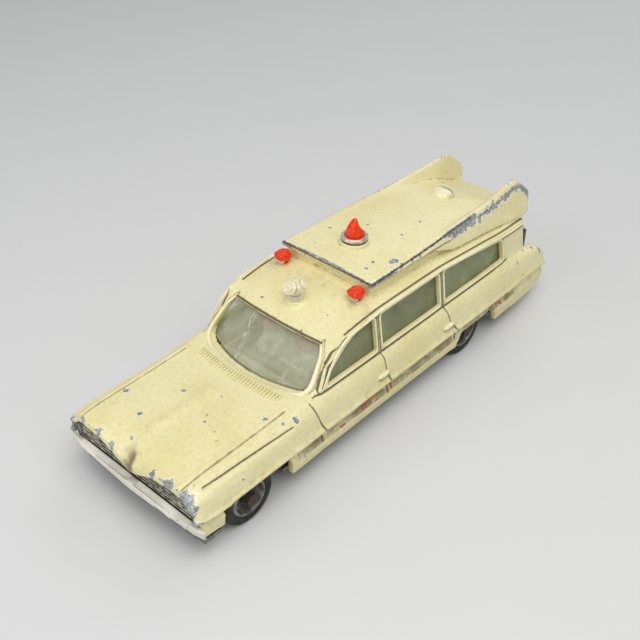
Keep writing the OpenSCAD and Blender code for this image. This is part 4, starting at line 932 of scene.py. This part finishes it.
def trim():
    """The windscreen's rim, window frames, drip rails, door handles and cowl ribs."""
    screen = SCREEN_HALF + [(-y, z) for y, z in SCREEN_HALF[::-1]]
    rim, rim_out = on_screen(screen)
    frames, drips, handles = [], [], []
    for side in (-1, 1):
        frames += [strip(*on_side(pane, side, True), 0.5, 0.4, True) for pane in SIDE_PANES]
        path, out = on_side(RAIL, side, False)
        drips.append(strip(path + 0.3 * out, out, 0.7, 0.6, taper=0.7))
        for x in HANDLE_X:
            bar = [(x + 2.0 * t, side * (19.75 - 0.2 * t * t), 14.2) for t in np.linspace(-1, 1, 9)]
            handles.append(strip(bar, (0, side, 0.25), 1.2, 1.2, taper=0.6))
    ribs = []
    for y in np.linspace(-12, 12, 31):
        x = cowl_x(y)
        near = np.hypot(body.co[:, 0] - x, body.co[:, 1] - y) < 0.6
        height = np.median(body.co[near & (body.co[:, 2] > 16.5), 2])
        bar = [(x + 1.2 * t, y, height + 0.1 - 0.16 * t) for t in np.linspace(-1, 1, 9)]
        ribs.append(strip(bar, (0, 0, 1), 0.46, 0.7, taper=0.5))
    # All trim but the cowl ribs is in the lighter cream, a painted highlight where it catches the light
    for name, strips, paint in (
        ("windscreen_rim", [strip(rim + 0.25 * rim_out, rim_out, 1.2, 1.0, taper=0.6)], HIGHLIT_CREAM),
        ("window_frames", frames, HIGHLIT_CREAM),
        ("drip_rails", drips, HIGHLIT_CREAM),
        ("door_handles", handles, HIGHLIT_CREAM),
        ("cowl_ribs", ribs, CREAM),
    ):
        points, faces = joined(strips)
        finish_piece(name, points, faces, paint, "body")


trim()


# Roof fittings, turned or moulded
def turned(profile, x, z, sides=48):
    """A profile of (radius, height) turned about an upright axis, closed at both ends."""
    turn = np.linspace(0, 2 * np.pi, sides, endpoint=False)
    points = [(x + r * np.cos(t), r * np.sin(t), z + h) for r, h in profile for t in turn]
    return np.array(points), tube_faces(len(profile), sides)


def fine_profile(profile, count=40):
    """A profile with about the count of steps, its corners eased."""
    return even_path(profile, False, step=np.ptp(np.asarray(profile)[:, 1]) * 1.6 / count, passes=2)


def beacon():
    """A grooved collar cast on the roof, a metal bead and a red lens with flutes and a bite out of it."""
    x, z = BEACON
    collar = [(3.4, -1.6), (3.42, -0.1), (3.3, 0.15), (2.9, 0.25), (2.8, 0.5), (2.3, 0.55)]
    points, faces = turned(fine_profile(collar, 30), x, z)
    # Painted shade in the collar's groove and round its foot
    groove = smoothstep(3.25, 3.0, np.hypot(points[:, 0] - x, points[:, 1]))
    foot = smoothstep(-1.05, -1.3, points[:, 2] - z)
    shares = shares_for(points, grime_and_shade=0.3 * foot, line=np.maximum(groove, 0.6 * foot))
    finish_piece("beacon_collar", points, faces, CREAM, "body", (), shares)
    bead = [(2.1, 0.5), (2.9, 0.5), (3.15, 0.7), (3.15, 1.15), (2.85, 1.5), (2.5, 1.5), (2.25, 1.2)]
    points, faces = turned(fine_profile(bead, 24), x, z)
    finish_piece("beacon_bead", points, faces, RING, "body", ["beacon_ring"])
    lens = [(2.1, 0.05), (2.15, 1.6), (2.1, 2.3), (1.8, 3.2), (1.3, 4.2), (0.85, 4.9), (0.5, 5.4), (0.1, 5.6)]
    points, faces = turned(fine_profile(lens), x, z)
    out = points - (x, 0, 0)
    height = points[:, 2] - z
    angle = np.arctan2(out[:, 1], out[:, 0])
    bite = smoothstep(0.2, 0.9, np.cos(angle - 2.3))
    bite *= smoothstep(2.2, 3.4, height) * smoothstep(5.6, 4.9, height)
    flutes = np.cos(5 * angle + 0.9 * height) * smoothstep(1.2, 2, height) * smoothstep(5.6, 5, height)
    scale = 1 - 0.34 * bite + 0.05 * flutes
    points = np.column_stack([x + out[:, 0] * scale, out[:, 1] * scale, points[:, 2]])
    finish_piece("beacon_dome", points, faces, RED_CLEAR, "body", ["beacon_lens"])


def siren_moulding():
    """A clear moulded siren: a foot ring, a neck and a round head with a rimmed face ahead."""
    x, z = SIREN
    profile = [
        (1.9, 0.0), (2.1, 0.3), (1.9, 0.8), (1.35, 1.0), (1.3, 1.3), (1.9, 1.7), (2.35, 2.4), (2.45, 3.0),
        (2.2, 3.8), (1.5, 4.4), (0.1, 4.7),
    ]
    points, faces = turned(fine_profile(profile, 90), x, z, 112)
    way = unit(points - (x, 0, z + 3.0))
    height = points[:, 2] - z
    # Painted glints on the foot ring and along the face rims; painted shade in the neck and just outside the
    # rims
    swell, glint, crease = 0 * height, mark(0.6, height - 0.35, 0.14), mark(0.8, height - 1.15, 0.2)
    for aim, rim in (((0.92, 0.1, 0.38), 0.6), ((-0.5, 0.75, 0.42), 0.34)):
        turn = np.arccos(np.clip(way @ unit(np.array(aim)), -1, 1))
        swell += mark(0.4, turn - rim, 0.13) - 0.4 * smoothstep(rim - 0.05, rim - 0.3, turn)
        glint = np.maximum(glint, mark(0.85, turn - rim, 0.09, height > 1.4))
        crease = np.maximum(crease, mark(0.75, turn - (rim + 0.2), 0.07, height > 1.4))
    points += (swell * smoothstep(1.4, 1.9, height))[:, None] * way
    shares = shares_for(points, wear=glint, grime_and_shade=crease)
    finish_piece("siren_head", points, faces, SIREN_CLEAR, "body", ["siren"], shares)


def lamp_lens(node):
    """A hooded red lamp with a small pale bulb low at its front."""
    skin = soft_skin(node, voxel=0.13, passes=3, melt=1)
    middle = (skin.co.min(axis=0) + skin.co.max(axis=0)) / 2
    x, y, z = (skin.co - middle).T
    tip = smoothstep(0.95, 1.25, x) * smoothstep(0.55, 0.2, z)
    hood = 1 + 0.3 * smoothstep(-1.2, 0.2, z) * (1 - tip)
    skin.co[:, 1] = middle[1] + y * hood * (1 + 0.06 * np.cos(4.2 * x))
    skin.co[:, 2] -= 0.35 * tip
    shares = shares_for(skin.co, wear=tip)
    finish_piece(f"{node}_lens", skin.co, skin.quads, RED_CLEAR, "body", [node], shares)


def roof_vent():
    """The low hood between the fins, rubbed bare round its rear rim."""
    x, z = VENT
    profile = [(3.1, -0.7), (3.0, 0.3), (2.8, 1.2), (2.3, 1.9), (1.3, 2.25), (0.1, 2.3)]
    points, faces = turned(fine_profile(profile), x, z)
    out = points - (x, 0, z)
    rear = smoothstep(0.6, -0.6, out[:, 0])
    # Painted shade round the vent's foot, by the line share
    foot = smoothstep(0.75, 0.35, out[:, 2])
    wear = 0.95 * smoothstep(-0.2, -0.9, out[:, 0]) * smoothstep(1.3, 1.8, out[:, 2])
    left = smoothstep(0.2, 1.0, out[:, 1] / 3)
    points[:, 0] = x + 0.8 * out[:, 0]
    points[:, 2] -= 0.25 * (1 - rear)
    shares = shares_for(points, wear, grime_and_shade=0.5 * left, line=0.75 * foot)
    # The vent is in the lighter cream, a painted highlight
    finish_piece("roof_vent", points, faces, HIGHLIT_CREAM, "body", (), shares)


# Softened CAD nodes and figures
def softened(node, name, voxel, passes, material, body_name, melt=0, foot_shade=0.0):
    """A CAD node with soft, rubbed edges and its corners darkened by soiling and painted shade; the foot
    share adds painted shade to its lowest part.
    """
    skin = soft_skin(node, voxel, passes, melt)
    proud = skin.bend(5)
    z = skin.co[:, 2]
    # Painted shade on the lowest part, carried by the wear share
    low = smoothstep(0.3, 0.1, (z - z.min()) / np.ptp(z))
    shares = np.clip(shares_for(skin.co, wear=2.6 * proud + foot_shade * low, grime_and_shade=-3.0 * proud), 0, 0.7)
    finish_piece(name, skin.co, skin.quads, material, body_name, [node], shares)


def top_of(node):
    """The middle of the points at the top of a node, in mm."""
    co = np.array([v.co for v in nodes[node].data.vertices]) / MM
    return np.append(co[co[:, 2] > co[:, 2].max() - 0.5].mean(axis=0)[:2], co[:, 2].max())


def figure(who, face, crown):
    """A moulded figure with a plain face: brow, nose, eyes and mouth, and a cap of hair."""
    node = f"{who}_figure"
    skin = soft_skin(node, voxel=0.2, passes=3, melt=2)
    face, crown = np.array(face, float), np.array(crown, float)
    reach = skin.co - (top_of(node) - (0, 0, HEAD_R))
    ahead, high, across = reach @ face, reach @ crown, reach @ np.cross(crown, face)
    eye = np.abs(across) - 0.8
    on_head = smoothstep(HEAD_R + 0.6, HEAD_R + 0.3, np.linalg.norm(reach, axis=1))
    on_head *= smoothstep(-1.9, -1.6, high)
    eyes = bump_at(eye, 0, 0.34) * bump_at(high, 0.25, 0.24)
    mouth = bump_at(across, 0, 0.7) * bump_at(high, -0.95, 0.18)
    relief = 0.5 * bump_at(across, 0, 0.32) * bump_at(high, -0.2, 0.45)
    relief += 0.16 * bump_at(eye, 0, 0.5) * bump_at(high, 0.65, 0.22) - 0.22 * eyes - 0.14 * mouth
    front = on_head * smoothstep(0.4, 0.9, ahead)
    hair = on_head * smoothstep(0.1, 0.5, high - 0.5 - 0.7 * ahead)
    skin.co += (front * relief)[:, None] * face + (0.14 * hair / HEAD_R)[:, None] * reach
    shares = shares_for(skin.co, wear=on_head, grime_and_shade=front * np.clip(eyes + 0.5 * mouth, 0, 1), stripe=hair)
    finish_piece(f"{who}_moulding", skin.co, skin.quads, FIGURE, "body", [node], shares)


AHEAD, UP = (1, 0, 0), (0, 0, 1)
figure("driver", face=AHEAD, crown=UP)
figure("attendant", face=AHEAD, crown=UP)
beacon()
siren_moulding()
lamp_lens("lamp_left")
lamp_lens("lamp_right")
roof_vent()
figure("patient", face=UP, crown=AHEAD)
# Softened node, its piece, grid in mm, passes, material and body
# The bumpers get painted shade along their lowest part
softened("front_bumper", "front_bumper_bar", 0.2, 4, SILVER, "body", melt=1, foot_shade=0.6)
softened("rear_bumper", "rear_bumper_bar", 0.24, 4, SILVER, "body", melt=1, foot_shade=0.6)
softened("rear_door", "rear_door_panel", 0.24, 4, CREAM, "door", melt=1)
softened("blanket", "blanket_moulding", 0.28, 4, BLANKET, "body", melt=6)
softened("stretcher_mattress", "mattress_moulding", 0.3, 3, MATTRESS, "body", melt=4)
softened("front_bench", "front_bench_moulding", 0.32, 3, TUB, "body", melt=3)

# CAD nodes that keep their shape
KEPT = {
    GREEN_CLEAR: ["window_moulding", "rear_door_glass"],
    PLATE: ["base_plate", "steering_carrier", "rear_bracket", "hinge_bracket"],
    RIVET: ["base_rivets", "steering_pivot"],
    GRILLE: ["grille"],
    RUSTED: ["front_axle", "rear_axle", "hinge_pin"],
    SPUN: ["hub_front_left", "hub_front_right", "hub_rear_left", "hub_rear_right"],
    TYRE: ["tyre_front_left", "tyre_front_right", "tyre_rear_left", "tyre_rear_right"],
    TUB: ["interior_tub", "dashboard", "steering_column", "steering_wheel"],
    FRAME_GREY: ["stretcher_frame"],
}
for material, names in KEPT.items():
    for name in names:
        nodes[name].data.materials.clear()
        nodes[name].data.materials.append(material)


# Floor, light and camera
def floor():
    """A plain pale sheet, barely mottled."""
    look = Look("pale_floor")
    look.set(
        Base_Color=look.mix(look.span(look.noise(30, 3), 0.3, 0.7), rgb(217, 217, 215), rgb(218, 218, 216)),
        Roughness=look.span(look.noise(6, 3), 0.3, 0.7, 0.75, 0.85),
    )
    mesh = bpy.data.meshes.new("floor")
    corners = [(x * FLOOR_HALF, y * FLOOR_HALF, 0) for x, y in ((-1, -1), (1, -1), (1, 1), (-1, 1))]
    mesh.from_pydata(corners, [], [(0, 1, 2, 3)])
    mesh.materials.append(look.material)
    plane = bpy.data.objects.new("floor", mesh)
    link(plane)


def placed(right, up, back, place):
    """The matrix of a lamp or camera from its three axes and its place."""
    return Matrix(np.vstack([np.column_stack([right, up, back, place]), [0, 0, 0, 1]]).tolist())


def area_lamp(name, place, size, watts):
    data = bpy.data.lights.new(name, "AREA")
    data.size = size
    data.energy = watts
    lamp = bpy.data.objects.new(name, data)
    away = unit(np.array(place) - np.array(LAMP_AIM))
    across = unit(np.cross((0, 0, 1), away))
    lamp.matrix_world = placed(across, np.cross(away, across), away, place)
    link(lamp)


def camera():
    """The photograph's camera, turned by its azimuth, elevation and roll."""
    azimuth, elevation, roll = (np.radians(angle) for angle in (AZIMUTH, ELEVATION, ROLL))
    data = bpy.data.cameras.new("photo_camera")
    data.sensor_width = SENSOR_MM
    data.lens = FOCAL_PX * SENSOR_MM / PHOTO_PX
    data.clip_start = 0.005
    level = np.cos(elevation)
    back = np.array([np.sin(azimuth) * level, -np.cos(azimuth) * level, np.sin(elevation)])
    right = np.array([np.cos(azimuth), np.sin(azimuth), 0])
    up = np.cross(back, right)
    right, up = np.cos(roll) * right + np.sin(roll) * up, np.cos(roll) * up - np.sin(roll) * right
    viewer = bpy.data.objects.new("photo_camera", data)
    viewer.matrix_world = placed(right, up, back, np.array(CAMERA_PLACE) * MM)
    link(viewer)
    scene.camera = viewer


def studio():
    """An even, slightly cool grey all round."""
    world = bpy.data.worlds.new("studio")
    world.use_nodes = True
    background = world.node_tree.nodes["Background"]
    background.inputs["Color"].default_value = rgb(214, 216, 220)
    background.inputs["Strength"].default_value = WORLD_STRENGTH
    scene.world = world


floor()
for lamp_row in LAMPS:
    area_lamp(*lamp_row)
studio()
camera()
scene.view_settings.view_transform = "Standard"
